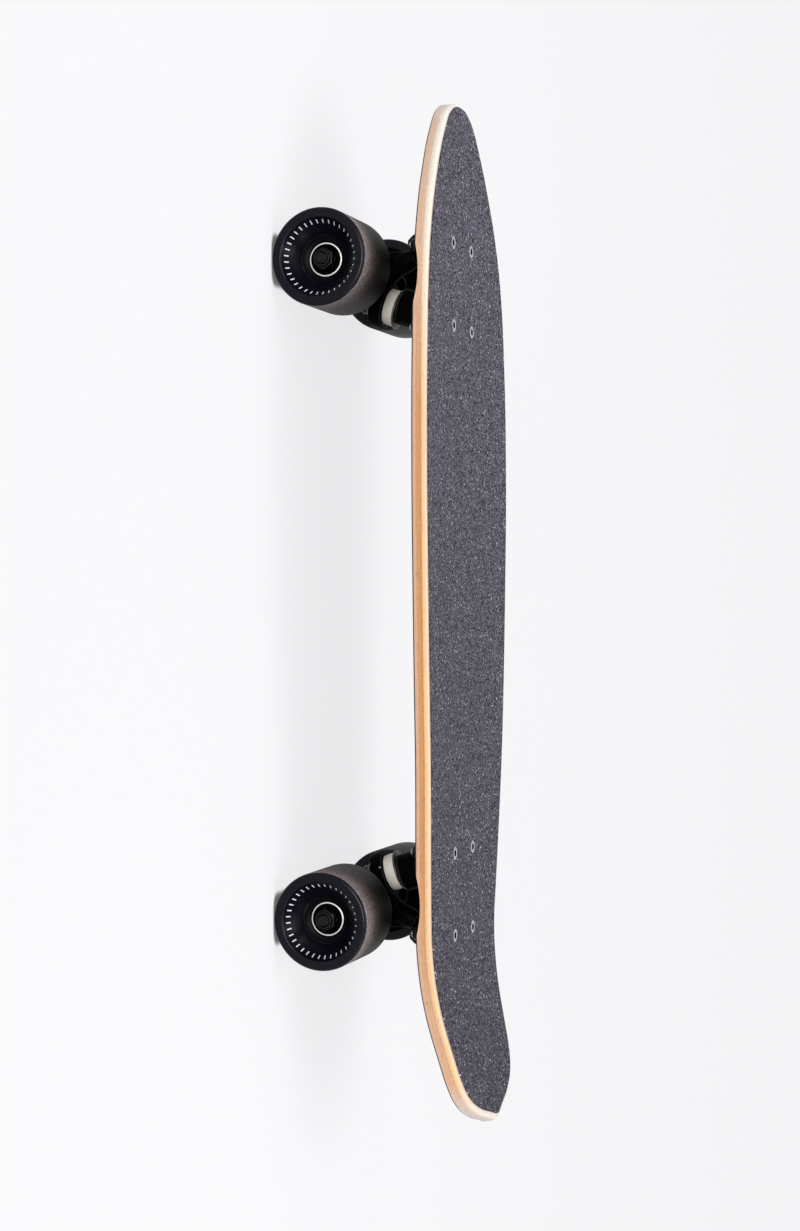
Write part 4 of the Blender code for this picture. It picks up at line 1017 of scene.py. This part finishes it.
def flat_sheet(name, kind, outline, half_thickness, offset=0.0, steps=1):
    """A closed bmesh of the flat shape inside a BEZIER or POLY outline."""
    curve = bpy.data.curves.new(name, "CURVE")
    curve.dimensions = "2D"
    curve.fill_mode = "BOTH"
    curve.extrude = half_thickness
    curve.offset = offset
    curve.resolution_u = steps
    spline = curve.splines.new(kind)
    spline.use_cyclic_u = True
    if kind == "BEZIER":
        spline.bezier_points.add(len(outline) - 1)
        for point, (x, y) in zip(spline.bezier_points, outline):
            point.co = (x, y, 0)
            point.handle_left_type = point.handle_right_type = "AUTO"
    else:
        spline.points.add(len(outline) - 1)
        for point, (x, y) in zip(spline.points, outline):
            point.co = (x, y, 0, 1)
    source = add_object(name, curve)
    mesh = evaluated_mesh(source)
    bpy.data.objects.remove(source)
    return weld_caps(mesh)


def blank(name, thickness, inset):
    """A flat sheet cut to the deck's outline, with its faces at z = 0 and z = -thickness."""
    half = [(TAIL_X + along * DECK_LENGTH, share * DECK_WIDTH / 2) for along, share in OUTLINE]
    outline = half + [(x, -y) for x, y in reversed(half[1:-1])]
    bm = flat_sheet(name, "BEZIER", outline, thickness / 2, -inset, OUTLINE_STEPS)
    bmesh.ops.translate(bm, verts=bm.verts, vec=(0, 0, -thickness / 2))
    return bm


def round_rim(bm, height, width, segments):
    """Rounds the edge loop that lies at a height."""
    rim = [e for e in bm.edges if all(abs(v.co.z - height) < SAME_LEVEL for v in e.verts)]
    bmesh.ops.bevel(bm, geom=rim, offset=width, segments=segments, affect="EDGES", profile=0.5)


def press(bm, depth):
    """Cuts the flat sheet into a grid and bends it to the deck's surface, that far under the grip's top."""
    columns = int(DECK_LENGTH / COLUMN_SPACING)
    rows = int(DECK_WIDTH / 2 / ROW_SPACING)
    cuts = [((TAIL_X + (i + 0.5) * COLUMN_SPACING, 0, 0), (1, 0, 0)) for i in range(columns)]
    cuts += [((0, i * ROW_SPACING, 0), (0, 1, 0)) for i in range(-rows, rows + 1)]
    for place, normal in cuts:
        everything = bm.verts[:] + bm.edges[:] + bm.faces[:]
        bmesh.ops.bisect_plane(bm, geom=everything, plane_co=place, plane_no=normal, dist=SAME_LEVEL)
    for vert in bm.verts:
        height, slope, _ = deck_top(vert.co.x, vert.co.y)
        up = Vector((-slope, 0, 1)).normalized()
        vert.co = Vector((vert.co.x, vert.co.y, height)) + up * (vert.co.z - depth)


def bolt_places():
    """(truck, number, x, y) of each deck bolt."""
    found = []
    for truck, middle in (("front", WHEELBASE / 2), ("rear", -WHEELBASE / 2)):
        corners = [(sx, sy) for sx in (1, -1) for sy in (1, -1)]
        for number, (sx, sy) in enumerate(corners, 1):
            x = TRUCK_MIDDLE_X + middle + sx * BOLT_SPACING_X / 2
            found.append((truck, number, x, sy * BOLT_SPACING_Y / 2))
    return found


def bolt_head_z(x, y):
    return deck_top(x, y)[0] - BOLT_HEAD_SINK


def bolt_hole_cutter(x, y):
    head, hole = BOLT_HEAD_RADIUS + GAP, BOLT_RADIUS + GAP
    profile = [
        (0, CUTTER_EXTRA),
        (head, CUTTER_EXTRA),
        (head, -GAP / 2),
        (hole, -GAP / 2 - (head - hole)),
        (hole, -2 * BOARD_THICKNESS),
        (0, -2 * BOARD_THICKNESS),
    ]
    return turned_object("bolt_hole", shift(x, y, bolt_head_z(x, y)), profile)


def half_width(x):
    """The deck's half width at an X, read between the outline's points."""
    along = (x - TAIL_X) / DECK_LENGTH
    for (start, before), (end, after) in zip(OUTLINE, OUTLINE[1:]):
        if along <= end:
            share = before + (after - before) * (along - start) / (end - start)
            return share * DECK_WIDTH / 2
    return 0


def well_cutter(x, side):
    """A drum that leans outwards, so that the well is deepest at the deck's edge."""
    edge_y = half_width(x)
    edge_z = deck_top(x, edge_y)[0] - BOARD_THICKNESS
    lean = Matrix.Rotation(side * (math.pi / 2 + WELL_TILT), 4, "X")
    place = shift(x, side * edge_y, edge_z + WELL_DEPTH) @ lean @ shift(0, -side * WELL_RADIUS, 0)
    return cylinder(place, WELL_RADIUS, -WELL_LENGTH / 2, WELL_LENGTH / 2, 4 * WHEEL_SIDES)


def mark_plies(mesh):
    """Writes each point's depth in the wood, from 0 at its top to 1 at its underside, and stains below."""
    ply = mesh.attributes.new(PLY_ATTRIBUTE, "FLOAT", "POINT")
    for vert in mesh.vertices:
        x, y, z = vert.co
        height, along, across = deck_top(x, y)
        depth = (height - z) / math.hypot(1, along, across) - GRIP_THICKNESS - GAP
        ply.data[vert.index].value = depth / WOOD_THICKNESS
    for face in mesh.polygons:
        deep = all(ply.data[i].value > STAIN_START for i in face.vertices)
        face.material_index = int(deep and face.normal.z < STAIN_FACING)


def make_deck(looks):
    bm = blank("deck_wood", WOOD_THICKNESS, 0)
    round_rim(bm, 0, TOP_ROUND, 5)
    round_rim(bm, -WOOD_THICKNESS, BOTTOM_ROUND, 3)
    press(bm, GRIP_THICKNESS + GAP)
    deck = solid("deck_wood", bm)
    holes = [bolt_hole_cutter(x, y) for _, _, x, y in bolt_places()]
    middles = (TRUCK_MIDDLE_X + WHEELBASE / 2, TRUCK_MIDDLE_X - WHEELBASE / 2)
    wells = [well_cutter(x, side) for x in middles for side in (-1, 1)]
    mesh = mesh_of(cut(deck, *holes, *wells))
    mesh.materials.clear()
    mark_plies(mesh)
    stand_in("deck", shaded(mesh), Matrix(), looks["wood"], looks["stain"])


def make_griptape(looks):
    bm = blank("grip_sheet", GRIP_THICKNESS, GRIP_INSET)
    tip = max(vert.co.x for vert in bm.verts)
    for vert in bm.verts:
        ahead = max(vert.co.x - tip + GRIP_NOSE_LENGTH, 0) / GRIP_NOSE_LENGTH
        vert.co.x += GRIP_NOSE_REACH * ahead**2
    press(bm, 0)
    grip = solid("grip_sheet", bm)
    room = 4 * BOARD_THICKNESS
    radius = BOLT_HEAD_RADIUS + GAP
    holes = [cylinder(shift(x, y, TOP_Z), radius, -room, room) for _, _, x, y in bolt_places()]
    mesh = mesh_of(cut(grip, *holes))
    mesh.materials.clear()
    stand_in("griptape", shaded(mesh), Matrix(), looks["grit"])


# Deck bolts and locknuts


def bolt_mesh(name, length):
    """A countersunk socket screw whose top is at z = 0."""
    socket = hexagon(BOLT_SOCKET_FLATS)
    profile = [
        (socket, -BOLT_SOCKET_DEPTH),
        (socket, -BOLT_HEAD_EDGE),
        (lambda angle: socket(angle) + BOLT_HEAD_EDGE, 0),
        (BOLT_HEAD_RADIUS - BOLT_HEAD_EDGE, 0),
        (BOLT_HEAD_RADIUS, -BOLT_HEAD_EDGE),
        (BOLT_RADIUS, -BOLT_HEAD_CONE),
        (BOLT_RADIUS, -length / 2),
    ]
    loops = rings(profile) + thread(BOLT_RADIUS, BOLT_PITCH, -length / 2, -length, BOLT_CHAMFER)
    # faces inside the socket take the second look, the socket's painted shade
    edge = -BOLT_HEAD_EDGE / 4
    return pick_looks(skin(name, loops), lambda r, z: r < SOCKET_REACH and -BOLT_HEAD_CONE < z < edge)


def make_deck_hardware(looks):
    """The deck bolts, and the locknuts that hang under the baseplates."""
    nut_top = DECK_UNDERSIDE_Z - GAP - PLATE_THICKNESS - GAP
    nut_bottom = -LOCKNUT_HEX - LOCKNUT_COLLAR
    end = nut_top + nut_bottom - BOLT_END
    bore = BOLT_RADIUS + GAP
    nut_mesh = nut("locknut", LOCKNUT_FLATS, 0, -LOCKNUT_HEX, bore, nut_bottom, LOCKNUT_COLLAR_RADIUS)
    for truck, number, x, y in bolt_places():
        head_z = bolt_head_z(x, y)
        name = f"{truck}_deck_bolt_{number}"
        stand_in(name, bolt_mesh(name, head_z - end), shift(x, y, head_z), looks["zinc"], looks["recess"])
        stand_in(f"{truck}_locknut_{number}", nut_mesh, shift(x, y, nut_top), looks["black_steel"])


# Truck castings


def block(low, high, place=Matrix()):
    low, high = Vector(low), Vector(high)
    bm = bmesh.new()
    bmesh.ops.create_cube(bm, size=1, matrix=Matrix.LocRotScale((low + high) / 2, None, high - low))
    return at(place, solid("block", bm))


def plate_slab():
    """The flat part of the baseplate, with round corners."""
    bm = bmesh.new()
    size = (PLATE_LENGTH, PLATE_WIDTH, PLATE_THICKNESS)
    middle = (0, 0, -GAP - PLATE_THICKNESS / 2)
    bmesh.ops.create_cube(bm, size=1, matrix=Matrix.LocRotScale(middle, None, size))
    corners = [e for e in bm.edges if abs(e.verts[0].co.z - e.verts[1].co.z) > PLATE_THICKNESS / 2]
    bmesh.ops.bevel(bm, geom=corners, offset=PLATE_CORNER, segments=12, affect="EDGES", profile=0.5)
    return solid("baseplate", bm)


def make_baseplate():
    """The plate with its two bosses and the rib between them, bored for what it holds."""
    boss_place = KINGPIN_FRAME @ shift(BOSS_OFFSET, 0, 0)
    boss_profile = [(BOSS_RADIUS + BOSS_FLARE, 0), (BOSS_RADIUS, BOSS_FACE)]
    boss = turned_object("kingpin_boss", boss_place, boss_profile)
    boss_top = -PIVOT_Z / math.cos(PIVOT_TILT)
    profile = [
        (0, boss_top),
        (PIVOT_BOSS_RADIUS + PIVOT_BOSS_FLARE, boss_top),
        (PIVOT_BOSS_RADIUS, -PIVOT_BOSS_SHOULDER),
        (PIVOT_BOSS_RADIUS - PIVOT_BOSS_NARROWING, -PIVOT_BOSS_END),
        (0, -PIVOT_BOSS_END),
    ]
    pivot_boss = turned_object("pivot_boss", PIVOT_FRAME, profile)
    rib_low = (KINGPIN_X, -PLATE_RIB_HALF_WIDTH, -PLATE_RIB_DEPTH)
    rib = block(rib_low, (PIVOT_X, PLATE_RIB_HALF_WIDTH, -PLATE_THICKNESS / 2))
    plate = join(plate_slab(), boss, pivot_boss, rib)
    wide = 2 * PLATE_LENGTH
    cast(cut(plate, block((-wide, -wide, -GAP), (wide, wide, wide))))
    head_floor = KINGPIN_TOP - KINGPIN_HEAD_HEIGHT - GAP
    bores = [
        cylinder(KINGPIN_FRAME, KINGPIN_RADIUS + GAP, 2 * BOSS_FACE, PLATE_LENGTH),
        cylinder(KINGPIN_FRAME, KINGPIN_HEAD_RADIUS + GAP, head_floor, PLATE_LENGTH),
        cylinder(PIVOT_FRAME, CUP_RADIUS + GAP, -2 * PIVOT_BOSS_END, CUP_TOP + GAP),
    ]
    for sx in (-1, 1):
        for sy in (-1, 1):
            place = shift(sx * BOLT_SPACING_X / 2, sy * BOLT_SPACING_Y / 2, 0)
            bores.append(cylinder(place, BOLT_RADIUS + GAP, -2 * PLATE_THICKNESS, PLATE_THICKNESS))
    return shaded(mesh_of(cut(plate, *bores)))


def hanger_tube():
    """The arms, turned about the axle: thick in the middle, thinner at the wheels."""
    half = HANGER_HALF_WIDTH
    one_side = [
        (0, half),
        (HANGER_END_RADIUS, half),
        (HANGER_END_RADIUS, ARM_Y + ARM_STEP),
        (HANGER_ARM_RADIUS, ARM_Y),
        (HANGER_MIDDLE_RADIUS, RING_RADIUS),
    ]
    mesh = turned("hanger", one_side + mirrored(one_side))
    mesh.transform(AXLE_FRAME)
    return add_object("hanger", mesh)


def hanger_fin():
    """The middle web that runs from the axle and the ring up to the neck."""
    root = PIVOT_FRAME @ Vector((0, 0, -NECK_TAPER_END))
    axle = Vector((AXLE_X, 0, -TRUCK_HEIGHT))
    stretches = ((axle, FIN_UP_FROM_AXLE), (root, FIN_ROUND_NECK_ROOT), (axle, FIN_DOWN_TO_AXLE))
    outline = [(start.x + dx, start.z + dz) for start, offsets in stretches for dx, dz in offsets]
    fin = solid("hanger_fin", flat_sheet("hanger_fin", "POLY", outline, FIN_HALF_THICKNESS))
    return at(SIDEWAYS, bevel(fin, FIN_EDGE))


def hanger_gusset():
    """The triangle between the arms and the fin: a block that narrows upwards and leans outwards."""
    bm = bmesh.new()
    bmesh.ops.create_cube(bm, size=1)
    for vert in bm.verts:
        top = vert.co.z > 0
        x = (GUSSET_TOP_X if top else AXLE_X) + math.copysign(GUSSET_THICKNESS / 2, vert.co.x)
        y = math.copysign(GUSSET_TOP_HALF if top else ARM_Y, vert.co.y)
        vert.co = (x, y, GUSSET_TOP_Z if top else -TRUCK_HEIGHT)
    return bevel(solid("hanger_gusset", bm), GUSSET_EDGE, segments=5, degrees=30)


def hanger_neck():
    """The round neck and the ball at its top."""
    profile = quarter(BALL_RADIUS)[::-1]
    profile += [
        (NECK_RADIUS, -NECK_TAPER_START),
        (NECK_ROOT_RADIUS, -NECK_TAPER_END),
        (NECK_ROOT_RADIUS, -NECK_LENGTH),
        (0, -NECK_LENGTH),
    ]
    return turned_object("hanger_neck", PIVOT_FRAME, profile)


def make_hanger():
    """The casting, cleared round the bushings, washers and kingpin nut, and bored for the axle."""
    hanger = join(hanger_tube(), hanger_gusset(), hanger_fin(), hanger_neck())
    half = LOWER_BUSHING_RADIUS + SWING_ROOM
    washer_low = KINGPIN_NUT_TOP + GAP
    washer_high = (UPPER_SEAT_RADIUS, half, RING_BOTTOM + SEAT_DEPTH / 2)
    nut_high = (hexagon(KINGPIN_NUT_FLATS)(0) + NUT_ROOM, half, washer_low + GAP)
    washer_room = block((-PLATE_LENGTH, -half, washer_low), washer_high, KINGPIN_FRAME)
    nut_room = block((-PLATE_LENGTH, -half, 2 * KINGPIN_BOTTOM), nut_high, KINGPIN_FRAME)
    cut(hanger, washer_room, nut_room)
    collar = cylinder(Matrix(), RING_RADIUS, RING_BOTTOM, RING_TOP)
    cast(join(hanger, at(KINGPIN_FRAME, bevel(collar, RING_EDGE))))
    wide = 2 * HANGER_HALF_WIDTH
    bores = [
        cylinder(KINGPIN_FRAME, UPPER_SEAT_RADIUS, UPPER_SEAT, BOSS_FACE),
        cylinder(KINGPIN_FRAME, LOWER_SEAT_RADIUS, RING_BOTTOM - SEAT_DEPTH / 2, LOWER_SEAT),
        cylinder(KINGPIN_FRAME, KINGPIN_RADIUS + RING_HOLE_CLEARANCE, RING_BOTTOM - SEAT_DEPTH, BOSS_FACE),
        cylinder(AXLE_FRAME, AXLE_RADIUS + GAP, -wide, wide),
    ]
    return shaded(mesh_of(cut(hanger, *bores)))


# Truck pieces that are turned, each in the frame of the kingpin, the pivot or the axle


def make_pivot_cup():
    """A blind cup with a round socket for the ball and a mouth that widens."""
    profile = [
        (0, CUP_TOP),
        (CUP_RADIUS, CUP_TOP),
        (CUP_RADIUS, -CUP_MOUTH),
        (SOCKET_RADIUS + CUP_MOUTH_FLARE, -CUP_MOUTH),
    ]
    return turned("pivot_cup", profile + quarter(SOCKET_RADIUS))


def make_kingpin():
    """A headed pin with a threaded end."""
    head_bottom = KINGPIN_TOP - KINGPIN_HEAD_HEIGHT
    profile = [
        (0, KINGPIN_TOP),
        (KINGPIN_HEAD_RADIUS, KINGPIN_TOP),
        (KINGPIN_HEAD_RADIUS, head_bottom),
        (KINGPIN_RADIUS, head_bottom),
        (KINGPIN_RADIUS, LOWER_WASHER_TOP),
    ]
    stretch = (LOWER_WASHER_TOP, KINGPIN_BOTTOM)
    return skin("kingpin", rings(profile) + thread(KINGPIN_RADIUS, KINGPIN_PITCH, *stretch, KINGPIN_CHAMFER))


def make_kingpin_nut():
    bottom = KINGPIN_NUT_TOP - KINGPIN_NUT_HEIGHT
    return nut("kingpin_nut", KINGPIN_NUT_FLATS, KINGPIN_NUT_TOP, bottom, KINGPIN_HOLE)


def make_upper_washer():
    """A dished washer whose lip reaches down round the upper bushing."""
    plate_bottom = UPPER_WASHER_TOP - CUP_WASHER_THICKNESS
    lip_inner = UPPER_BUSHING_RADIUS + GAP
    lip_outer = lip_inner + CUP_WASHER_WALL
    lip_bottom = plate_bottom - CUP_WASHER_LIP
    corners = [
        (lip_outer, UPPER_WASHER_TOP, CUP_WASHER_ROUND),
        (lip_outer, lip_bottom, WASHER_EDGE),
        (lip_inner, lip_bottom, 0),
        (lip_inner, plate_bottom, 0),
        (KINGPIN_HOLE, plate_bottom, 0),
        (KINGPIN_HOLE, UPPER_WASHER_TOP, 0),
    ]
    return turned("upper_cup_washer", rounded(corners), ring=True)


def make_lower_washer():
    bottom = LOWER_WASHER_TOP - CUP_WASHER_THICKNESS
    return disc("lower_cup_washer", KINGPIN_HOLE, LOWER_WASHER_RADIUS, bottom, LOWER_WASHER_TOP, WASHER_EDGE)


def bushing(name, top, bottom, outside):
    """A soft ring round the kingpin, whose outside is a list of (radius, height, fillet) corners."""
    profile = rounded(outside + [(KINGPIN_HOLE, bottom, 0), (KINGPIN_HOLE, top, 0)])
    return turned(name, subdivided(profile), ring=True)


def make_upper_bushing():
    """A cylinder with eased edges."""
    top, bottom = UPPER_BUSHING_TOP, UPPER_BUSHING_TOP - UPPER_BUSHING_HEIGHT
    outside = [(UPPER_BUSHING_RADIUS, z, BUSHING_EDGE) for z in (top, bottom)]
    return bushing("upper_bushing", top, bottom, outside)


def make_lower_bushing():
    """A cylinder inside its seat, and a cone from there down to the lower washer."""
    top, bottom = LOWER_BUSHING_TOP, LOWER_BUSHING_TOP - LOWER_BUSHING_HEIGHT
    outside = [(LOWER_BUSHING_RADIUS, z, BUSHING_EDGE) for z in (top, RING_BOTTOM - GAP)]
    outside.append((LOWER_BUSHING_END_RADIUS, bottom, BUSHING_EDGE / 2))
    return bushing("lower_bushing", top, bottom, outside)


def subdivided(profile):
    """Adds points along a closed profile's long runs."""
    line = []
    for (r0, z0), (r1, z1) in zip(profile, profile[1:] + profile[:1]):
        count = max(1, math.ceil(math.hypot(r1 - r0, z1 - z0) / BEND_STEP))
        line += [(r0 + (r1 - r0) * k / count, z0 + (z1 - z0) * k / count) for k in range(count)]
    return line


def make_axle():
    """A rod with threaded ends."""
    half, smooth = AXLE_HALF_LENGTH, HANGER_HALF_WIDTH
    one_end = thread(AXLE_RADIUS, AXLE_PITCH, -smooth, -half, AXLE_CHAMFER)
    other_end = thread(AXLE_RADIUS, AXLE_PITCH, smooth, half, AXLE_CHAMFER)
    return skin("axle", one_end[::-1] + other_end)


# Wheel pieces, each turned about Z with +Z away from the truck


def curve_through(start, swell, end):
    """Points of a quadratic curve from start to end, pulled towards swell."""
    start, swell, end = Vector(start), Vector(swell), Vector(end)
    shares = [k / DISH_STEPS for k in range(1, DISH_STEPS)]
    return [tuple((1 - t) ** 2 * start + 2 * t * (1 - t) * swell + t * t * end) for t in shares]


def wheel_face():
    """The outboard half of the wheel's profile, from the bore out to the tread."""
    half = WHEEL_WIDTH / 2
    land = BEARING_SPACING / 2 - GAP
    hub = BEARING_SPACING / 2 + BEARING_WIDTH + GAP
    core_top = hub + CORE_RISE
    core = [
        (BEARING_RADIUS - CORE_LAND, land, 0),
        (BEARING_SEAT_RADIUS, land, 0),
        (BEARING_SEAT_RADIUS, hub, CORE_EDGE),
        (CORE_LIP_RADIUS, hub + CORE_STEP, CORE_EDGE),
        (CORE_RADIUS, core_top, 0),
    ]
    dish = curve_through((CORE_RADIUS, core_top), DISH_SWELL, (WHEEL_LIP_RADIUS, half))
    lip = [
        (*dish[-1], 0),
        (WHEEL_LIP_RADIUS, half, WHEEL_LIP_EDGE),
        (WHEEL_RADIUS, half, WHEEL_LIP_ROUND),
        (WHEEL_RADIUS, 0, 0),
    ]
    return rounded(core) + dish[:-1] + rounded(lip, steps=6)


def make_wheel():
    outboard = wheel_face()
    profile = outboard + mirrored(outboard[:-1])
    tread_edge = WHEEL_WIDTH / 2 - WHEEL_LIP_ROUND / 2

    def tread_dish_or_core(radius, z):
        if radius > WHEEL_RADIUS - WHEEL_LIP_ROUND and abs(z) < tread_edge:
            return 0
        return 1 if radius > CORE_RADIUS else 2

    return pick_looks(turned("wheel", profile, WHEEL_SIDES, ring=True), tread_dish_or_core)


def make_bearing():
    """Outer race, sunk shield and inner race, with both faces alike."""
    half = BEARING_WIDTH / 2
    sunk = half - SHIELD_SINK
    one_face = [
        (BEARING_RADIUS, half, RACE_EDGE),
        (OUTER_RACE_INSIDE, half, 0),
        (OUTER_RACE_INSIDE, sunk, 0),
        (INNER_RACE_OUTSIDE, sunk, 0),
        (INNER_RACE_OUTSIDE, half, 0),
        (AXLE_RADIUS + GAP, half, RACE_EDGE),
    ]
    mesh = turned("bearing", rounded(one_face + mirrored(one_face)), ring=True)
    return pick_looks(mesh, lambda radius, z: INNER_RACE_OUTSIDE < radius < OUTER_RACE_INSIDE)


def make_axle_nut():
    """A hexagon on a round washer face, with a nylon collar outside."""
    bore = AXLE_RADIUS + GAP
    top = AXLE_NUT_FACE + AXLE_NUT_HEIGHT
    hex_top = top - AXLE_NUT_COLLAR
    collar = {"collar_top": top, "collar_radius": AXLE_NUT_COLLAR_RADIUS}
    face = {"face_radius": AXLE_NUT_FACE_RADIUS, "face_low": 0}
    mesh = nut("axle_nut", AXLE_NUT_FLATS, AXLE_NUT_FACE, hex_top, bore, **collar, **face)
    nylon_radius = (AXLE_NUT_COLLAR_RADIUS + bore) / 2
    return pick_looks(mesh, lambda radius, z: radius < nylon_radius and z > hex_top)


# Assembly


def make_trucks(looks):
    """One mesh of each piece, stood in for the front and rear copies of its node."""
    own, kingpin, pivot = Matrix(), KINGPIN_FRAME, PIVOT_FRAME
    pieces = {
        "baseplate": (make_baseplate(), own, "casting"),
        "hanger": (make_hanger(), own, "casting"),
        "pivot_cup": (make_pivot_cup(), pivot, "cup"),
        "kingpin": (make_kingpin(), kingpin, "black_steel"),
        "kingpin_nut": (make_kingpin_nut(), kingpin, "black_steel"),
        "upper_cup_washer": (make_upper_washer(), kingpin, "washer"),
        "lower_cup_washer": (make_lower_washer(), kingpin, "washer"),
        "axle": (make_axle(), AXLE_FRAME, "black_steel"),
    }
    bore = AXLE_RADIUS + GAP
    washer = disc("speed_washer", bore, SPEED_WASHER_RADIUS, 0, SPEED_WASHER_THICKNESS, WASHER_EDGE)
    bearing = make_bearing()
    bearing_middle = (BEARING_SPACING + BEARING_WIDTH) / 2
    on_axle = {
        "wheel": (make_wheel(), 0, ("tread", "dish", "core")),
        "outer_bearing": (bearing, bearing_middle, ("race", "shield")),
        # the inner bearing's race takes painted shade
        "inner_bearing": (bearing.copy(), -bearing_middle, ("oiled_race", "shield")),
        "speed_washer": (washer, HANGER_HALF_WIDTH + GAP - WHEEL_Y, ("zinc",)),
        "axle_nut": (make_axle_nut(), AXLE_NUT_Y - WHEEL_Y, ("black_steel", "nylon")),
    }
    for name, side, turn in (("front", 1, 0), ("rear", -1, math.pi)):
        truck = shift(TRUCK_MIDDLE_X + side * WHEELBASE / 2, 0, DECK_UNDERSIDE_Z)
        truck = truck @ Matrix.Rotation(turn, 4, "Z")
        for piece, (mesh, place, look) in pieces.items():
            stand_in(f"{name}_{piece}", mesh, truck @ place, looks[look])
        make_bushings(name, truck @ kingpin, looks)
        for hand, away in (("left", 1), ("right", -1)):
            toward = away * side
            outward = Matrix.Rotation(-toward * math.pi / 2, 4, "X")
            end = truck @ shift(AXLE_X, toward * WHEEL_Y, -TRUCK_HEIGHT) @ outward
            for piece, (mesh, along, applied) in on_axle.items():
                stand_in(f"{name}_{hand}_{piece}", mesh, end @ shift(0, 0, along), *[looks[u] for u in applied])


def make_bushings(truck_name, place, looks):
    """Soft rings between the board's washer and the hanger's ring, each put in place of its CAD node."""
    stretches = {
        "upper_bushing": (make_upper_bushing, "cream", UPPER_BUSHING_TOP, RING_TOP),
        "lower_bushing": (make_lower_bushing, "black_urethane", LOWER_WASHER_TOP, RING_BOTTOM),
    }
    for piece, (make, look, board_end, hanger_end) in stretches.items():
        name = f"{truck_name}_{piece}"
        mesh = make()
        mesh.transform(place)
        mesh.materials.append(looks[look])
        obj = add_object(name + "_fine", mesh)
        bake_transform(obj)
        take_place(name)


# Studio


def seen_directly(tree):
    """1 for what the camera, a mirror or glass sees, and 0 for light on the object."""
    path = node(tree, "LightPath").node.outputs
    either = maths(tree, "MAXIMUM", path["Is Camera Ray"], path["Is Glossy Ray"])
    return maths(tree, "MAXIMUM", either, path["Is Transmission Ray"])


def add_floor():
    """A plain white floor. Part of its white is its own, so that the object's shadow stays soft.

    A painted contact shadow darkens it close round what stands on it.
    """
    bm = bmesh.new()
    bmesh.ops.create_grid(bm, x_segments=1, y_segments=1, size=FLOOR_HALF)
    floor = solid("floor", bm)
    look = bpy.data.materials.new("studio_floor")
    look.use_nodes = True
    tree = look.node_tree
    tree.nodes.remove(tree.nodes["Principled BSDF"])
    bounce = node(tree, "BsdfDiffuse", {"Color": (FLOOR_BOUNCE,) * 3 + (1,)})
    lit = node(tree, "BsdfDiffuse", {"Color": FLOOR_LIT})
    own = node(tree, "Emission", {"Color": FLOOR_TINT, "Strength": FLOOR_WHITE})
    shown = node(tree, "MixShader", {0: FLOOR_SHADOW_SHARE, 1: own, 2: lit})
    # painted contact shadow: the floor turns dark brown close round what stands on it
    open_sky = node(tree, "AmbientOcclusion", {"Distance": CONTACT_REACH}, output="AO", samples=16)
    painted_contact_shadow = node(tree, "BsdfDiffuse", {"Color": screen(92, 76, 68)})
    shown = node(tree, "MixShader", {0: ramp(tree, open_sky, CONTACT_SHADE), 1: shown, 2: painted_contact_shadow})
    surface = node(tree, "MixShader", {0: seen_directly(tree), 1: bounce, 2: shown})
    tree.links.new(surface, tree.nodes["Material Output"].inputs["Surface"])
    floor.data.materials.append(look)


def add_world():
    world = bpy.data.worlds.new("studio")
    bpy.context.scene.world = world
    world.use_nodes = True
    tree = world.node_tree
    level = plus(tree, times(tree, seen_directly(tree), FLOOR_WHITE - WORLD_FILL), WORLD_FILL)
    fill(tree, tree.nodes["Background"].inputs["Strength"], level)
    tree.nodes["Background"].inputs["Color"].default_value = (1, 1, 1, 1)


def add_sun(name, azimuth, elevation, width, level):
    """Even soft light from a direction, of which a white face turned to it gives back level."""
    lamp = bpy.data.lights.new(name, "SUN")
    lamp.angle = math.radians(width)
    lamp.energy = level * math.pi
    around, up = math.radians(azimuth), math.radians(elevation)
    toward = Vector((math.cos(around) * math.cos(up), math.sin(around) * math.cos(up), math.sin(up)))
    add_object(name, lamp).rotation_euler = toward.to_track_quat("Z", "Y").to_euler()


def add_lamp(name, place, target, size, power):
    """A square soft lamp that faces a point."""
    lamp = bpy.data.lights.new(name, "AREA")
    lamp.shape = "SQUARE"
    lamp.size = size
    lamp.energy = power
    obj = add_object(name, lamp)
    obj.location = place
    obj.rotation_euler = (Vector(target) - Vector(place)).to_track_quat("-Z", "Y").to_euler()


def add_camera():
    """The photograph's camera, turned so that up in the picture is towards the nose."""
    data = bpy.data.cameras.new("photo_camera")
    data.sensor_width = SENSOR_MM
    data.lens = FOCAL_PIXELS / PHOTO_LONG_SIDE * SENSOR_MM
    level = math.cos(CAMERA_PITCH)
    ahead = Vector((math.sin(CAMERA_YAW) * level, -math.cos(CAMERA_YAW) * level, -math.sin(CAMERA_PITCH)))
    tailward = Vector((-math.cos(CAMERA_YAW), -math.sin(CAMERA_YAW), 0))
    up = tailward.cross(ahead)
    turn = Matrix((up, -tailward, -ahead)).transposed().to_4x4()
    place = Matrix.Translation(CAMERA_PLACE) @ turn
    bpy.context.scene.camera = at(place, add_object("photo_camera", data))


def add_studio():
    bpy.context.scene.view_settings.view_transform = "Standard"
    add_camera()
    add_floor()
    add_world()
    for name, settings in SUNS.items():
        add_sun(name, *settings)
    for name, settings in LAMPS.items():
        add_lamp(name, *settings)


def main():
    looks = make_looks()
    make_deck(looks)
    make_griptape(looks)
    make_deck_hardware(looks)
    make_trucks(looks)
    add_studio()


main()
